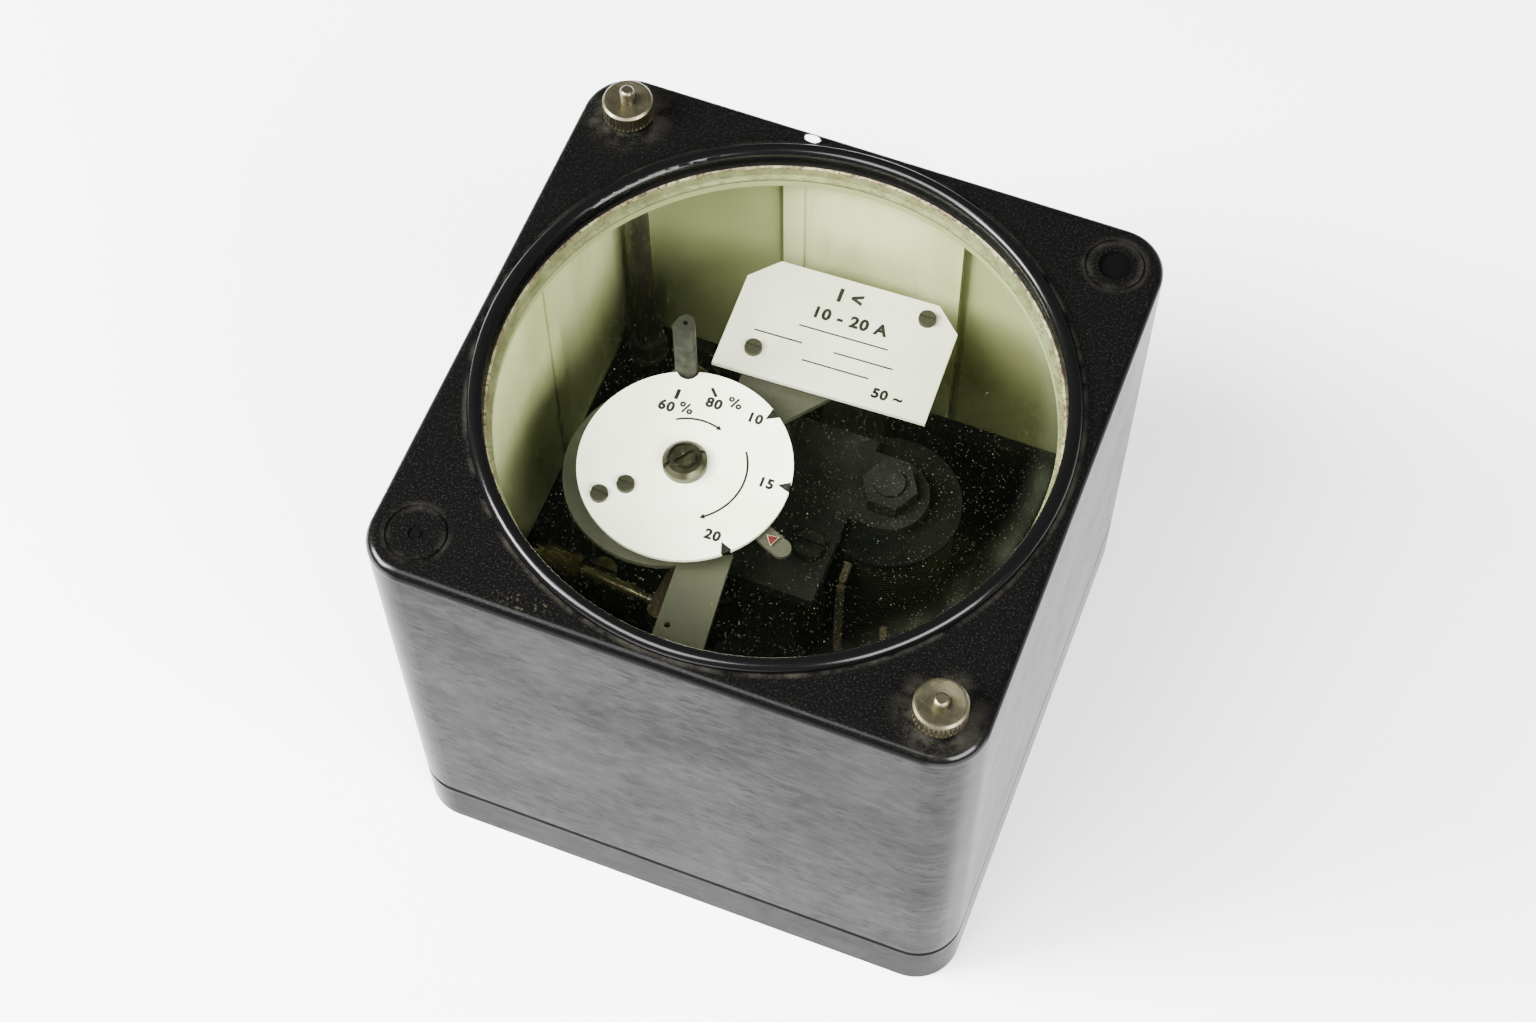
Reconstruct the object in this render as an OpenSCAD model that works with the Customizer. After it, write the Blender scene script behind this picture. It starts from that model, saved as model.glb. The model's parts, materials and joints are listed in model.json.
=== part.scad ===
// Protection relay in a square moulded case: a moving-iron current relay with a glazed lift-off cover.
// Millimetres. The origin is the centre of the base's rear face.
// +Z points to the window and +Y to the relay's top.

/* [Case] */
// Side of the square case
case_w = 152; // [148:1:170]
// Height from the rear face to the cover's flat top
case_h = 141; // [136:1:160]
// Outer corner radius of the case
corner_r = 12; // [9:0.5:14]
// Rounding of the cover's top edge
edge_r = 2.6; // [1:0.1:2.6]
// Wall of the cover
wall_t = 4.5; // [3.5:0.1:5]
// Thickness of the cover's top
top_t = 5; // [4:0.1:6]
// Thickness of the base's flange
flange_t = 17; // [15:0.5:20]
// Height of the floor inside the base
floor_z = 14; // [12:0.5:15]
// Height of the spigot that the cover fits over
spigot_h = 16; // [12:0.5:18]
// Wall of the spigot
spigot_t = 4; // [3:0.1:5]
// Gap between the cover and the spigot
spigot_gap = 0.5; // [0.3:0.05:0.6]
// Thickness of the gasket under the cover
gasket_t = 1.2; // [0.8:0.1:2]
// How far the gasket is set back from the case's side
gasket_inset = 1; // [0.6:0.1:1.6]
// Width of the raised panel inside each wall of the cover
panel_w = 49; // [40:1:60]
// Height of that panel's face above the wall
panel_d = 2; // [1:0.1:2.4]
// Width of the bands at the panel's two ends
panel_band = 5.5; // [4:0.5:8]

/* [Window] */
// Radius of the hole that holds the glass
window_r = 69.3; // [60:0.1:69.6]
// Width of the ledge under the glass
ledge_w = 1.5; // [1:0.1:3]
// Thickness of the glass
glass_t = 3; // [2:0.1:4]
// Thickness of the cement bed under the glass
cement_t = 0.6; // [0.3:0.1:1]
// Gap round the glass
glass_gap = 0.3; // [0.1:0.05:0.5]
// Depth of the glass below the cover's top
glass_drop = 4; // [3:0.1:5]
// Radius of the bead's section round the window
bead_r = 1.95; // [1.2:0.05:1.95]

/* [Cover fixings] */
// Distance from the middle to the corner fixings along each side
corner_p = 64; // [62:0.5:65]
// Diameter of the cover stud's rod
stud_d = 6; // [5:0.5:7]
// Diameter of the cover stud's threaded end
stud_end_d = 3.6; // [3:0.1:4]
// Height of the stud's end above the cover's top
stud_out = 10; // [8:0.5:14]
// How much less the lower stud stands out
stud_less = 2; // [0:0.5:2]
// Diameter of the knurled thumb nuts
thumb_d = 12.7; // [11:0.1:15]
// Height of the thumb nuts
thumb_h = 6; // [5:0.5:8]
// Grooves round a thumb nut's knurl
knurl_n = 36; // [24:1:48]
// Width across the flats of the stud nuts
stud_nut_af = 10; // [9:0.5:12]
// Height of the stud nuts
stud_nut_h = 6; // [4:0.5:7]
// Diameter of the moulded ring marks in the cover's other corners
ring_d = 15; // [12:0.5:16]
// Diameter of the panel fixing holes
panel_hole_d = 6.5; // [5:0.1:7]

/* [Terminals] */
// Spacing of the rear terminals along X
term_px = 56; // [50:1:60]
// Spacing of the rear terminals along Y
term_py = 18; // [16:0.5:20]
// Place of the terminals' middle along Y
term_y = -51; // [-52:0.5:-48]
// Outer diameter of a terminal bush
term_d = 8; // [7:0.5:9]
// Diameter of the tapped hole in a terminal bush
term_hole_d = 4.2; // [3.3:0.1:5]

/* [Frame] */
// Thickness of the frame's sheet
sheet_t = 1.6; // [1.2:0.1:2]
// Height of the front plate's upper face
plate_z = 98; // [96:0.5:100]
// Radius of the front plate's round part
plate_r = 26.4; // [25:0.2:28]
// Width of the frame's front leg
leg_w = 13.3; // [11:0.1:15]
// Width of the frame's back leg
back_leg_w = 18; // [14:1:20]
// Inside radius of the frame's bends
bend_r = 2; // [1:0.5:3]

/* [Dial] */
// Place of the dial's middle along X
dial_x = -21.7; // [-23:0.1:-20]
// Place of the dial's middle along Y
dial_y = -6.3; // [-8:0.1:-5]
// Radius of the dial
dial_r = 27; // [25.5:0.1:27.2]
// Thickness of the dial
dial_t = 1; // [0.6:0.1:1.6]
// Height of the dial above the front plate
dial_lift = 7; // [5.5:0.1:8]
// Depth of the V marks in the dial's edge
mark_depth = 3; // [2:0.1:4]
// Width of the V marks at the dial's edge
mark_w = 3.4; // [2:0.1:4]
// Diameter of the small screw heads
head_d = 4.6; // [4:0.1:5]
// Diameter of the pivot lock nut
lock_nut_d = 11.3; // [10.5:0.1:13]
// Diameter of the pivot screw
pivot_d = 5.5; // [5:0.1:6]
// Length of the setting finger from the dial's middle
finger_len = 35.5; // [33:0.5:38]
// Width of the setting finger
finger_w = 5; // [4:0.1:6]

/* [Drop-off setting] */
// Place of the drop-off spindle along X
drop_x = -31.2; // [-32:0.1:-30]
// Place of the drop-off spindle along Y
drop_y = 19.6; // [19:0.1:21]
// Diameter of the drop-off spindle's head
drop_d = 4.8; // [4:0.1:5]
// Height of the drop-off spindle's top above the dial
drop_h = 22; // [16:0.5:24]

/* [Label] */
// Width of the label plate
label_w = 57; // [54:0.5:60]
// Depth of the label plate
label_d = 35; // [34:0.5:37]
// Size of the cut corners of the label plate
label_cut = 7; // [5:0.5:8]
// Thickness of the label plate
label_t = 1.2; // [0.8:0.1:1.6]
// Height of the label plate's underside above the front plate
label_lift = 2; // [1.5:0.1:4]
// Turn of the label plate about Z
label_turn = 2.1; // [0:0.1:3]

/* [Magnet] */
// Place of the coil along X
coil_x = 24.6; // [24:0.1:27]
// Place of the coil along Y
coil_y = 17.3; // [16:0.1:19]
// Diameter of the coil's winding
coil_d = 35; // [30:1:36]
// Diameter of the magnet's core
core_d = 12; // [10:0.5:14]
// Height of the lower pole plate's underside above the floor
pole_lift = 8; // [7:0.5:9]
// Thickness of the lower pole plate
lower_pole_t = 5; // [4:0.5:6]
// Distance between the two pole plates
pole_span = 49; // [46:0.5:51]
// Thickness of the upper pole plate
upper_pole_t = 4; // [3:0.5:5]
// Radius of the hollow pole faces about the armature's axis
pole_face_r = 13; // [12:0.1:15]
// Air gap between the pole faces and the armature
air_gap = 0.6; // [0.4:0.1:1]
// Width of the armature's vane, in degrees
vane_deg = 40; // [30:1:46]

/* [Contacts] */
// Radius of the moving contact about the armature's axis
contact_r = 17; // [16:0.5:19]
// Height of the contacts above the floor
contact_h = 44; // [40:1:48]
// Diameter of the contact posts
post_d = 7; // [6:0.5:8]
// Gap left between the contacts at rest
contact_gap = 0.3; // [0.2:0.05:0.4]

/* [Hidden] */
$fn = 64;

// Clearances: a turning shaft in its hole, a fixed piece in its hole, and an overlap that makes pieces one
run_gap = 0.05;
seat_gap = 0.05;
eps = 0.01;
far = 400;

// Case
half_w = case_w / 2;
cover_z = flange_t + gasket_t;
spigot_half = half_w - wall_t - spigot_gap;
spigot_z = flange_t + spigot_h;
cavity_half = half_w - wall_t;
cavity_r = corner_r - wall_t;
ceiling_z = case_h - top_t;
boss_drop = 2;
boss_z = spigot_z - boss_drop;
boss_r = 11;
flange_edge = 0.8;
panel_z = spigot_z + 3;
panel_hollow = 0.7;
stud_corners = [[-corner_p, corner_p], [corner_p, -corner_p]];
hole_corners = [[corner_p, corner_p], [-corner_p, -corner_p]];

// Window
ledge_r = window_r - ledge_w;
glass_top = case_h - glass_drop;
ledge_z = glass_top - glass_t - cement_t;
ledge_t = 2.4;
collar_t = 3;
bead_c = window_r + 0.9 * bead_r;
bead_rise = 0.3;
cement_back = 0.2;
cement_clear = 0.05;
cement_low = 0.15;

// Cover fixings
stud_hole_d = stud_end_d + 0.6;
washer_t = 1;
washer_d = stud_nut_af + 2.4;
washer_gap = 0.6;
nut_pocket_d = 14;
nut_pocket_h = stud_nut_h + 0.2;
nut_pocket_gap = 1.2;
stud_tail = 0.8;
stud_shoulder_gap = 0.3;
stud_edge = 0.6;
thumb_edge = 0.5;
thumb_rim = 1;
thumb_dish = 0.5;
knurl_depth = 0.35;
knurl_land = 1.1;
ring_groove = 0.6;
ring_step = 0.45;
recess_d = 0.55 * ring_d;
recess_h = 1;
dimple_d = 0.27 * ring_d;
dimple_in = 0.13 * ring_d;

// Terminals
term_points = [for (sx = [-1, 1], sy = [-1, 1]) [sx * term_px / 2, term_y + sy * term_py / 2]];
term_flange_d = term_d + 4;
term_flange_t = 2;
term_hole_h = 12;
term_nut_af = 11;
term_nut_h = 4.5;
term_out = 1.2;
tag_t = 0.8;
tag_w = 4;
tag_len = 9;
tag_d = 12;

// Frame
plate_x = dial_x - 4.9;
plate_y = dial_y - 0.2;
plate_bottom = plate_z - sheet_t;
leg_x = -13;
leg_flat_y = -52;
leg_root = [[leg_x - 1.8, dial_y - 22], [leg_x + leg_w - 3, dial_y - 16]];
back_leg_x = -back_leg_w / 2;
back_flat_y = 58;
foot_len = 16;
foot_screw_d = 4;
foot_head_d = 8;
foot_head_h = 3;
foot_screw_h = 8;
front_foot = [leg_x + leg_w / 2, leg_flat_y + 6];
back_foot = [0, back_flat_y - 6];
ear_gap = 2;
ear_y = back_flat_y + 4;
backing_x = [-23, 23.5];
backing_y = 30;
neck_low = [dial_x + 15, dial_y + 21.5];
neck_high = [6, backing_y + 1];
drop_lug_r = 6;
leg_hole_d = 1.6;
leg_hole = [leg_x + 2.4, leg_flat_y + 6];

// Dial
dial_bottom = plate_z + dial_lift - dial_t;
dial_top = dial_bottom + dial_t;
mark_angles = [53.9, 6.5, -46];
finger_angle = -22.5;
finger_low = -24;
finger_high = 77;
bush_d = 8;
bush_shoulder_d = 13;
bush_shoulder_h = 1;
bush_out = 2.6;
lock_nut_h = 3.2;
lock_nut_edge = 1.1;
slot_w = 1.1;
slot_d = 1.1;
pivot_out = 4;
pivot_tip_d = 2.3;
pivot_cup_h = 3;
dial_screw_angle = 223.5;
dial_screw_radii = [15.8, 22.8];
spacer_d = 6;
head_h = 1.4;
small_screw_d = 2.4;
finger_t = 1.2;
finger_drop = 0.8;
hub_d = 13;
hub_gap = 0.2;
pin_r = 14;
pin_d = 2.4;
pin_slot_gap = 0.6;
pin_slot_end = 8;

// Drop-off setting
drop_shaft_d = drop_d - 0.4;
drop_angle = 215;
drop_notch_gap = 0.5;
drop_low_z = plate_bottom - 15;
drop_cam_r = 3.6;
drop_cam_off = 1.5;
drop_cam_h = 5;
drop_bush_d = 8.4;
drop_flange_d = 10.4;
drop_flange_t = 1;
drop_head_gap = 0.3;
drop_hole_d = 1.3;

// Label
label_c = [0.36, 44.5];
label_screw_at = [[-19.8, -10.3], [19.8, 12.2]];
label_bottom = plate_z + label_lift;
pillar_d = 6;

// Magnet
lower_z = floor_z + pole_lift;
lower_top = lower_z + lower_pole_t;
upper_z = lower_top + pole_span;
upper_top = upper_z + upper_pole_t;
plate_left = dial_x + 9.7;
plate_right = 17;
plate_front = dial_y - 12.7;
plate_back = 31;
lobe_r = 10.5;
yoke_right = coil_x + 21.4;
yoke_front = -10;
yoke_back = 38;
foot_d = 9;
foot_points = [
  [10, plate_front + 6], [yoke_right - 5, yoke_front + 5], [yoke_right - 5, yoke_back - 4], [-1, 27]
];
core_end_d = 8;
core_nut_af = 13;
core_nut_h = 5;
cheek_d = coil_d + 3;
cheek_t = 2;
tube_t = 1.2;
core_gap = 0.1;
pole_pillar_d = 8;
pole_pillar_at = [11, plate_front + 14];

// Armature
spindle_d = 4;
bearing_d = 10;
bearing_h = 6;
tip_gap = 0.3;
vane_r = pole_face_r - air_gap;
vane_hub_d = 9;
vane_angle = 62;
vane_gap = 0.6;
arm_t = 4;
arm_w = 5;
arm_hub_d = 12;
contact_angle = 265;
button_d = 3.2;
button_h = 1.5;
stop_angle = 81;
stop_len = 27;
stop_w = 4;
stop_t = 3;
stop_z = upper_top + 1.5;
stop_hub_d = 9;
tail_len = 13;
weight_d = 8;
weight_h = 7;
collet_d = 7.2;
collet_gap = 0.6;
spring_z = stop_z + stop_t + 1;
spring_h = 4;
spring_t = 0.5;
spring_turns = 4;
spring_steps = 20;
spring_in = collet_d / 2 + 0.3 + spring_t / 2;
spring_out = pin_r - pin_d / 2 - spring_t / 2;

// Contacts
contact_z = floor_z + contact_h;
block_x = [-64, -45];
block_y = [-31, 13];
block_h = 8;
block_top = floor_z + block_h;
screw_axis_r = contact_r;
contact_screw_d = 3.6;
contact_tip_d = 2.6;
contact_tip_h = 2;
barrel_d = 6.8;
barrel_len = 8;
barrel_start = 22;
lock_nut_af = 6.5;
lock_nut_t = 2.6;
free_post = [-58, 3];
post_out = 5;
post_nut_h = 4;
post_screw_d = 4;
post_shank_h = 6;
block_screws = [[-50, -4], [-60, -14]];

// Leads
lead_d = 2.2;
lead_sides = 8;
lead_over = foot_head_h + lead_d / 2 + 0.5;
coil_front_y = coil_y - coil_d / 2 - lead_d / 2 - 0.3;
tag_end_z = floor_z + tag_t + lead_d / 2;
coil_lead_a = [
  [coil_x - 4, coil_front_y + 0.2, 72], [coil_x - 4.2, coil_front_y - 4, 70],
  [coil_x - 4.2, coil_front_y - 6, 62], [coil_x - 4, coil_front_y - 7, 46],
  [coil_x - 1, coil_front_y - 14, 36], [coil_x + 6, coil_front_y - 28, 28],
  [term_px / 2 + 11, term_y + term_py / 2 + 4, 20], [term_px / 2 + 8, term_y + term_py / 2, tag_end_z]
];
coil_lead_b = [
  [coil_x + 6, coil_front_y + 1.4, 40], [coil_x + 8, coil_front_y - 4, 38],
  [coil_x + 12, coil_front_y - 14, 32],
  [coil_x + 21, coil_front_y - 34, 24], [coil_x + 22, coil_front_y - 48, 20],
  [term_px / 2 + 13, term_y - term_py / 2 + 3, 18], [term_px / 2 + 8, term_y - term_py / 2, tag_end_z]
];
contact_lead_a = [
  [free_post[0], free_post[1] - post_d / 2 - lead_d / 2, block_top + lead_d / 2 + 0.2],
  [free_post[0] - 4, free_post[1] - 12, block_top + lead_over],
  [free_post[0] - 4, -24, block_top + lead_over],
  [-61, -36, block_top + 1], [-54, -50, 19], [-term_px / 2 - 14, term_y - term_py / 2 + 2, 18],
  [-term_px / 2 - 8, term_y - term_py / 2, tag_end_z]
];
contact_lead_b = [
  [-51, -27.5, block_top + lead_d / 2 + 0.2], [-49, -33, block_top + 2], [-47, -37, 21],
  [-term_px / 2 - 13, term_y + term_py / 2 + 2, 18], [-term_px / 2 - 8, term_y + term_py / 2, tag_end_z]
];

// Colours
black = [0.06, 0.06, 0.06];
brass = [0.62, 0.52, 0.32];
nickel = [0.55, 0.53, 0.47];
iron = [0.2, 0.2, 0.21];
white = [0.92, 0.93, 0.9];
grey_paint = [0.46, 0.47, 0.42];
paxolin = [0.3, 0.2, 0.12];

// A square outline with round corners
module rounded_square(half, r) {
  square([2 * half, 2 * (half - r)], center = true);
  square([2 * (half - r), 2 * half], center = true);
  for (sx = [-1, 1], sy = [-1, 1]) {
    translate([sx * (half - r), sy * (half - r)]) circle(r);
  }
}

// One side of a section whose top corner is rounded, measured outwards from the origin
module edge_section(reach, h, e) {
  square([reach, h - e]);
  square([reach - e, h]);
  translate([reach - e, h - e]) circle(e);
}

// The same section on both sides of the origin
module full_section(reach, h, e) {
  edge_section(reach, h, e);
  mirror([1, 0]) edge_section(reach, h, e);
}

// A square block with round upright corners and a rounded top edge
module rounded_block(half, r, h, e) {
  for (turn = [0, 90]) {
    rotate([0, 0, turn]) rotate([90, 0, 0])
      linear_extrude(2 * (half - r), center = true) full_section(half, h, e);
  }
  for (sx = [-1, 1], sy = [-1, 1]) {
    translate([sx * (half - r), sy * (half - r), 0]) rotate_extrude() edge_section(r, h, e);
  }
}

// A solid cylinder between two heights
module rod(d, z0, z1) {
  translate([0, 0, z0]) cylinder(d = d, h = z1 - z0);
}

// A ring between two heights
module ring(outer_d, inner_d, z0, z1) {
  difference() {
    rod(outer_d, z0, z1);
    rod(inner_d, z0 - 1, z1 + 1);
  }
}

// A hexagon nut with a hole
module hex_nut(af, hole_d, z0, z1) {
  difference() {
    translate([0, 0, z0]) cylinder(d = af / cos(30), h = z1 - z0, $fn = 6);
    rod(hole_d, z0 - 1, z1 + 1);
  }
}

// A cheese-head screw: its head stands on z0 and its shank goes down from there
module slotted_screw(d_head, h_head, d_shank, len, z0) {
  difference() {
    union() {
      rod(d_head, z0, z0 + h_head);
      rod(d_shank, z0 - len, z0 + eps);
    }
    translate([0, 0, z0 + h_head]) cube([d_head + 1, d_head * 0.2, h_head * 0.9], center = true);
  }
}

// A place at a radius and an angle about the dial's middle
function about_dial(r, a) = [dial_x + r * cos(a), dial_y + r * sin(a)];

module at_dial(a = 0) {
  translate([dial_x, dial_y, 0]) rotate([0, 0, a]) children();
}

module at(p) {
  translate([p[0], p[1], 0]) children();
}

// A round wire along a list of points
function unit(v) = v / norm(v);
function heading(pts, i) =
  i == 0 ? unit(pts[1] - pts[0])
  : i == len(pts) - 1 ? unit(pts[i] - pts[i - 1])
  : unit(unit(pts[i + 1] - pts[i]) + unit(pts[i] - pts[i - 1]));
function side_of(t) = unit(cross(t, abs(t[2]) > 0.9 ? [1, 0.2, 0] : [0, 0, 1]));

// Points on a smooth curve through a route's points
function curve_at(p0, p1, p2, p3, t) =
  0.5 * (2 * p1 + (p2 - p0) * t + (2 * p0 - 5 * p1 + 4 * p2 - p3) * t * t
  + (3 * p1 - p0 - 3 * p2 + p3) * t * t * t);
function smooth_route(pts, steps) = [
  for (i = [0:len(pts) - 2], k = [0:steps - 1])
    curve_at(pts[max(i - 1, 0)], pts[i], pts[i + 1], pts[min(i + 2, len(pts) - 1)], k / steps),
  pts[len(pts) - 1]
];

module wire(route, d) {
  pts = smooth_route(route, 3);
  n = len(pts);
  s = lead_sides;
  rings = [
    for (i = [0:n - 1]) let (t = heading(pts, i), u = side_of(t), v = cross(t, u))
      for (k = [0:s - 1]) pts[i] + d / 2 * (cos(360 * k / s) * u + sin(360 * k / s) * v)
  ];
  skin = [
    for (i = [0:n - 2], k = [0:s - 1])
      [i * s + k, i * s + (k + 1) % s, (i + 1) * s + (k + 1) % s, (i + 1) * s + k]
  ];
  start_cap = [[for (k = [0:s - 1]) s - 1 - k]];
  end_cap = [[for (k = [0:s - 1]) (n - 1) * s + k]];
  mirror_faces = [for (f = concat(skin, start_cap, end_cap)) [for (k = [len(f) - 1:-1:0]) f[k]]];
  polyhedron(rings, mirror_faces);
}

// The moulded base: a flange that carries the cover, a spigot inside it, a floor and four corner bosses
module base() {
  color(black) difference() {
    union() {
      rounded_block(half_w, corner_r, flange_t, flange_edge);
      difference() {
        linear_extrude(spigot_z) rounded_square(spigot_half, cavity_r - spigot_gap);
        translate([0, 0, floor_z]) linear_extrude(far) rounded_square(spigot_half - spigot_t, 2);
      }
      intersection() {
        linear_extrude(boss_z) rounded_square(spigot_half, cavity_r - spigot_gap);
        for (p = concat(stud_corners, hole_corners)) at(p) rod(2 * boss_r, flange_t - 4, boss_z);
      }
    }
    translate([0, 0, floor_z]) linear_extrude(flange_t - floor_z + eps) difference() {
      rounded_square(spigot_half - spigot_t, 2);
      for (p = concat(stud_corners, hole_corners)) translate(p) circle(boss_r);
    }
    for (p = concat(stud_corners, hole_corners)) at(p) rod(washer_d + 2 * washer_gap, boss_z, far);
    for (p = stud_corners) at(p) {
      rod(stud_d + 2 * seat_gap, -1, far);
      rod(nut_pocket_d, -1, nut_pocket_h + nut_pocket_gap);
    }
    for (p = hole_corners) at(p) rod(panel_hole_d, -1, far);
    for (p = term_points) at(p) {
      rod(term_d + 2 * seat_gap, -1, far);
      rod(term_flange_d + 2 * seat_gap, -1, term_flange_t);
    }
    for (p = [front_foot, back_foot]) at(p) rod(foot_screw_d + 2 * seat_gap, floor_z - foot_screw_h, far);
    for (p = foot_points) at(p) rod(foot_screw_d + 2 * seat_gap, floor_z - foot_screw_h, far);
    for (p = block_screws) at(p) rod(foot_screw_d + 2 * seat_gap, floor_z - foot_screw_h, far);
  }
}

// A flat seal between the base and the cover, set back from the case's side
module cover_gasket() {
  color([0.03, 0.03, 0.03]) translate([0, 0, flange_t]) linear_extrude(gasket_t) difference() {
    rounded_square(half_w - gasket_inset, corner_r - gasket_inset);
    rounded_square(spigot_half + seat_gap, cavity_r - spigot_gap + seat_gap);
  }
}

// Brass bushes that take the wiring screws at the back
module terminal_bushes() {
  color(brass) for (p = term_points) at(p) difference() {
    union() {
      rod(term_flange_d, 0, term_flange_t);
      rod(term_d, 0, floor_z + tag_t + term_nut_h + term_out);
    }
    rod(term_hole_d, -1, term_hole_h);
  }
}

module terminal_nuts() {
  color(brass) for (p = term_points) at(p)
    hex_nut(term_nut_af, term_d + 2 * seat_gap, floor_z + tag_t, floor_z + tag_t + term_nut_h);
}

// Ring tags under the terminal nuts, with a tongue for the lead
module lead_tags() {
  color(nickel) for (p = term_points) at(p) rotate([0, 0, p[0] > 0 ? 0 : 180])
    translate([0, 0, floor_z]) linear_extrude(tag_t) difference() {
      union() {
        circle(d = tag_d);
        translate([0, -tag_w / 2]) square([tag_len, tag_w]);
        translate([tag_len, 0]) circle(d = tag_w);
      }
      circle(d = term_d + 2 * seat_gap);
    }
}

// Long studs that hold the cover: a rod through the base, and a thinner threaded end above the cover
module cover_studs() {
  for (i = [0, 1]) {
    end_z = case_h + stud_out - i * stud_less - stud_edge;
    color(nickel) at(stud_corners[i]) {
      rod(stud_d, stud_tail, ceiling_z - stud_shoulder_gap);
      rod(stud_end_d, ceiling_z - stud_shoulder_gap - eps, end_z);
      translate([0, 0, end_z]) cylinder(d1 = stud_end_d, d2 = stud_end_d - 2 * stud_edge, h = stud_edge);
    }
  }
}

module stud_washers() {
  color(nickel) for (p = stud_corners) at(p) ring(washer_d, stud_d + 2 * seat_gap, boss_z, boss_z + washer_t);
}

// The nuts that clamp each stud to the base, one on the boss and one in the pocket behind
module stud_nuts() {
  color(nickel) for (p = stud_corners) at(p) {
    hex_nut(stud_nut_af, stud_d + 2 * seat_gap, boss_z + washer_t, boss_z + washer_t + stud_nut_h);
    hex_nut(stud_nut_af, stud_d + 2 * seat_gap, nut_pocket_gap, nut_pocket_gap + nut_pocket_h);
  }
}

// The front plate's outline: a round part under the dial, an arm under the label and a leg towards the bottom
module plate_outline() {
  translate([plate_x, plate_y]) circle(plate_r, $fn = 96);
  polygon([leg_root[0], leg_root[1], [leg_x + leg_w, leg_flat_y], [leg_x, leg_flat_y]]);
  polygon([[dial_x + 2, dial_y], [neck_low[0], dial_y], neck_low, neck_high, [dial_x + 2, neck_high[1]]]);
  translate([backing_x[0], backing_y]) square([backing_x[1] - backing_x[0], back_flat_y - backing_y]);
  for (s = [0, 1]) {
    x0 = s == 0 ? backing_x[0] : back_leg_w / 2 + ear_gap;
    x1 = s == 0 ? -back_leg_w / 2 - ear_gap : backing_x[1];
    translate([x0, back_flat_y - eps]) square([x1 - x0, ear_y - back_flat_y]);
  }
  translate([drop_x, drop_y]) circle(drop_lug_r);
}

// A leg's side view from the front plate's flat down to its foot, with round bends, for a leg on the -X side
module leg_section() {
  outer = bend_r + sheet_t;
  corners = [[0, plate_z - outer, 90], [0, floor_z + outer, 180]];
  for (c = corners) translate([c[0], c[1]]) intersection() {
    difference() {
      circle(outer);
      circle(bend_r);
    }
    rotate(c[2]) square(outer);
  }
  translate([-outer, floor_z + outer]) square([sheet_t, plate_z - floor_z - 2 * outer]);
  translate([-eps, floor_z]) square([foot_len, sheet_t]);
}

module frame_leg(width) {
  rotate([90, 0, 90]) linear_extrude(width) leg_section();
}

// The frame, one folded sheet: front plate, two legs and their feet
module mechanism_frame() {
  color(grey_paint) difference() {
    union() {
      translate([0, 0, plate_bottom]) linear_extrude(sheet_t) {
        plate_outline();
        translate([back_leg_x, back_flat_y - eps]) square([back_leg_w, 2 * eps]);
      }
      translate([leg_x, leg_flat_y, 0]) frame_leg(leg_w);
      translate([back_leg_x + back_leg_w, back_flat_y, 0]) rotate([0, 0, 180]) frame_leg(back_leg_w);
    }
    at_dial() rod(bush_d + 2 * seat_gap, plate_bottom - 1, plate_z + 1);
    at_dial() translate([0, 0, plate_bottom - 1]) linear_extrude(sheet_t + 2) pin_slot();
    at([drop_x, drop_y]) rod(drop_bush_d + 2 * seat_gap, plate_bottom - 1, plate_z + 1);
    for (r = dial_screw_radii) at(about_dial(r, dial_screw_angle)) plate_screw_hole();
    for (p = label_screw_at) at_label(p) plate_screw_hole();
    for (p = [front_foot, back_foot]) at(p) rod(foot_screw_d + 2 * seat_gap, 0, floor_z + sheet_t + 1);
    at(leg_hole) rod(leg_hole_d, plate_bottom - 1, plate_z + 1);
  }
}

module plate_screw_hole() {
  rod(small_screw_d + 2 * seat_gap, plate_bottom - 1, plate_z + 1);
}

// The curved slot that the spring pin sweeps
module pin_slot() {
  half_slot = pin_d / 2 + pin_slot_gap;
  intersection() {
    difference() {
      circle(pin_r + half_slot);
      circle(pin_r - half_slot);
    }
    polygon([
      [0, 0],
      for (a = [finger_angle + finger_low - pin_slot_end, 0, finger_angle + finger_high + pin_slot_end])
        3 * pin_r * [cos(a), sin(a)]
    ]);
  }
}

module frame_screws() {
  color(nickel) for (p = [front_foot, back_foot]) at(p)
    slotted_screw(foot_head_d, foot_head_h, foot_screw_d, foot_screw_h, floor_z + sheet_t);
}

// A place on the label plate, from its own middle
module at_label(p) {
  translate([label_c[0], label_c[1], 0]) rotate([0, 0, label_turn]) at(p) children();
}

// The white label plate with two cut corners
module label_plate() {
  w = label_w / 2;
  d = label_d / 2;
  color(white) difference() {
    at_label([0, 0]) translate([0, 0, label_bottom]) linear_extrude(label_t)
      polygon([
        [-w, -d], [w, -d], [w, d - label_cut], [w - label_cut, d], [label_cut - w, d], [-w, d - label_cut]
      ]);
    for (p = label_screw_at) at_label(p)
      rod(small_screw_d + 2 * seat_gap, label_bottom - 1, label_bottom + 3);
  }
}

module label_pillars() {
  color(brass) for (p = label_screw_at) at_label(p)
    ring(pillar_d, small_screw_d + 2 * seat_gap, plate_z, label_bottom);
}

module label_screws() {
  color(nickel) for (p = label_screw_at) at_label(p)
    slotted_screw(head_d, head_h, small_screw_d, label_t + label_lift + sheet_t, label_bottom + label_t);
}

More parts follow.
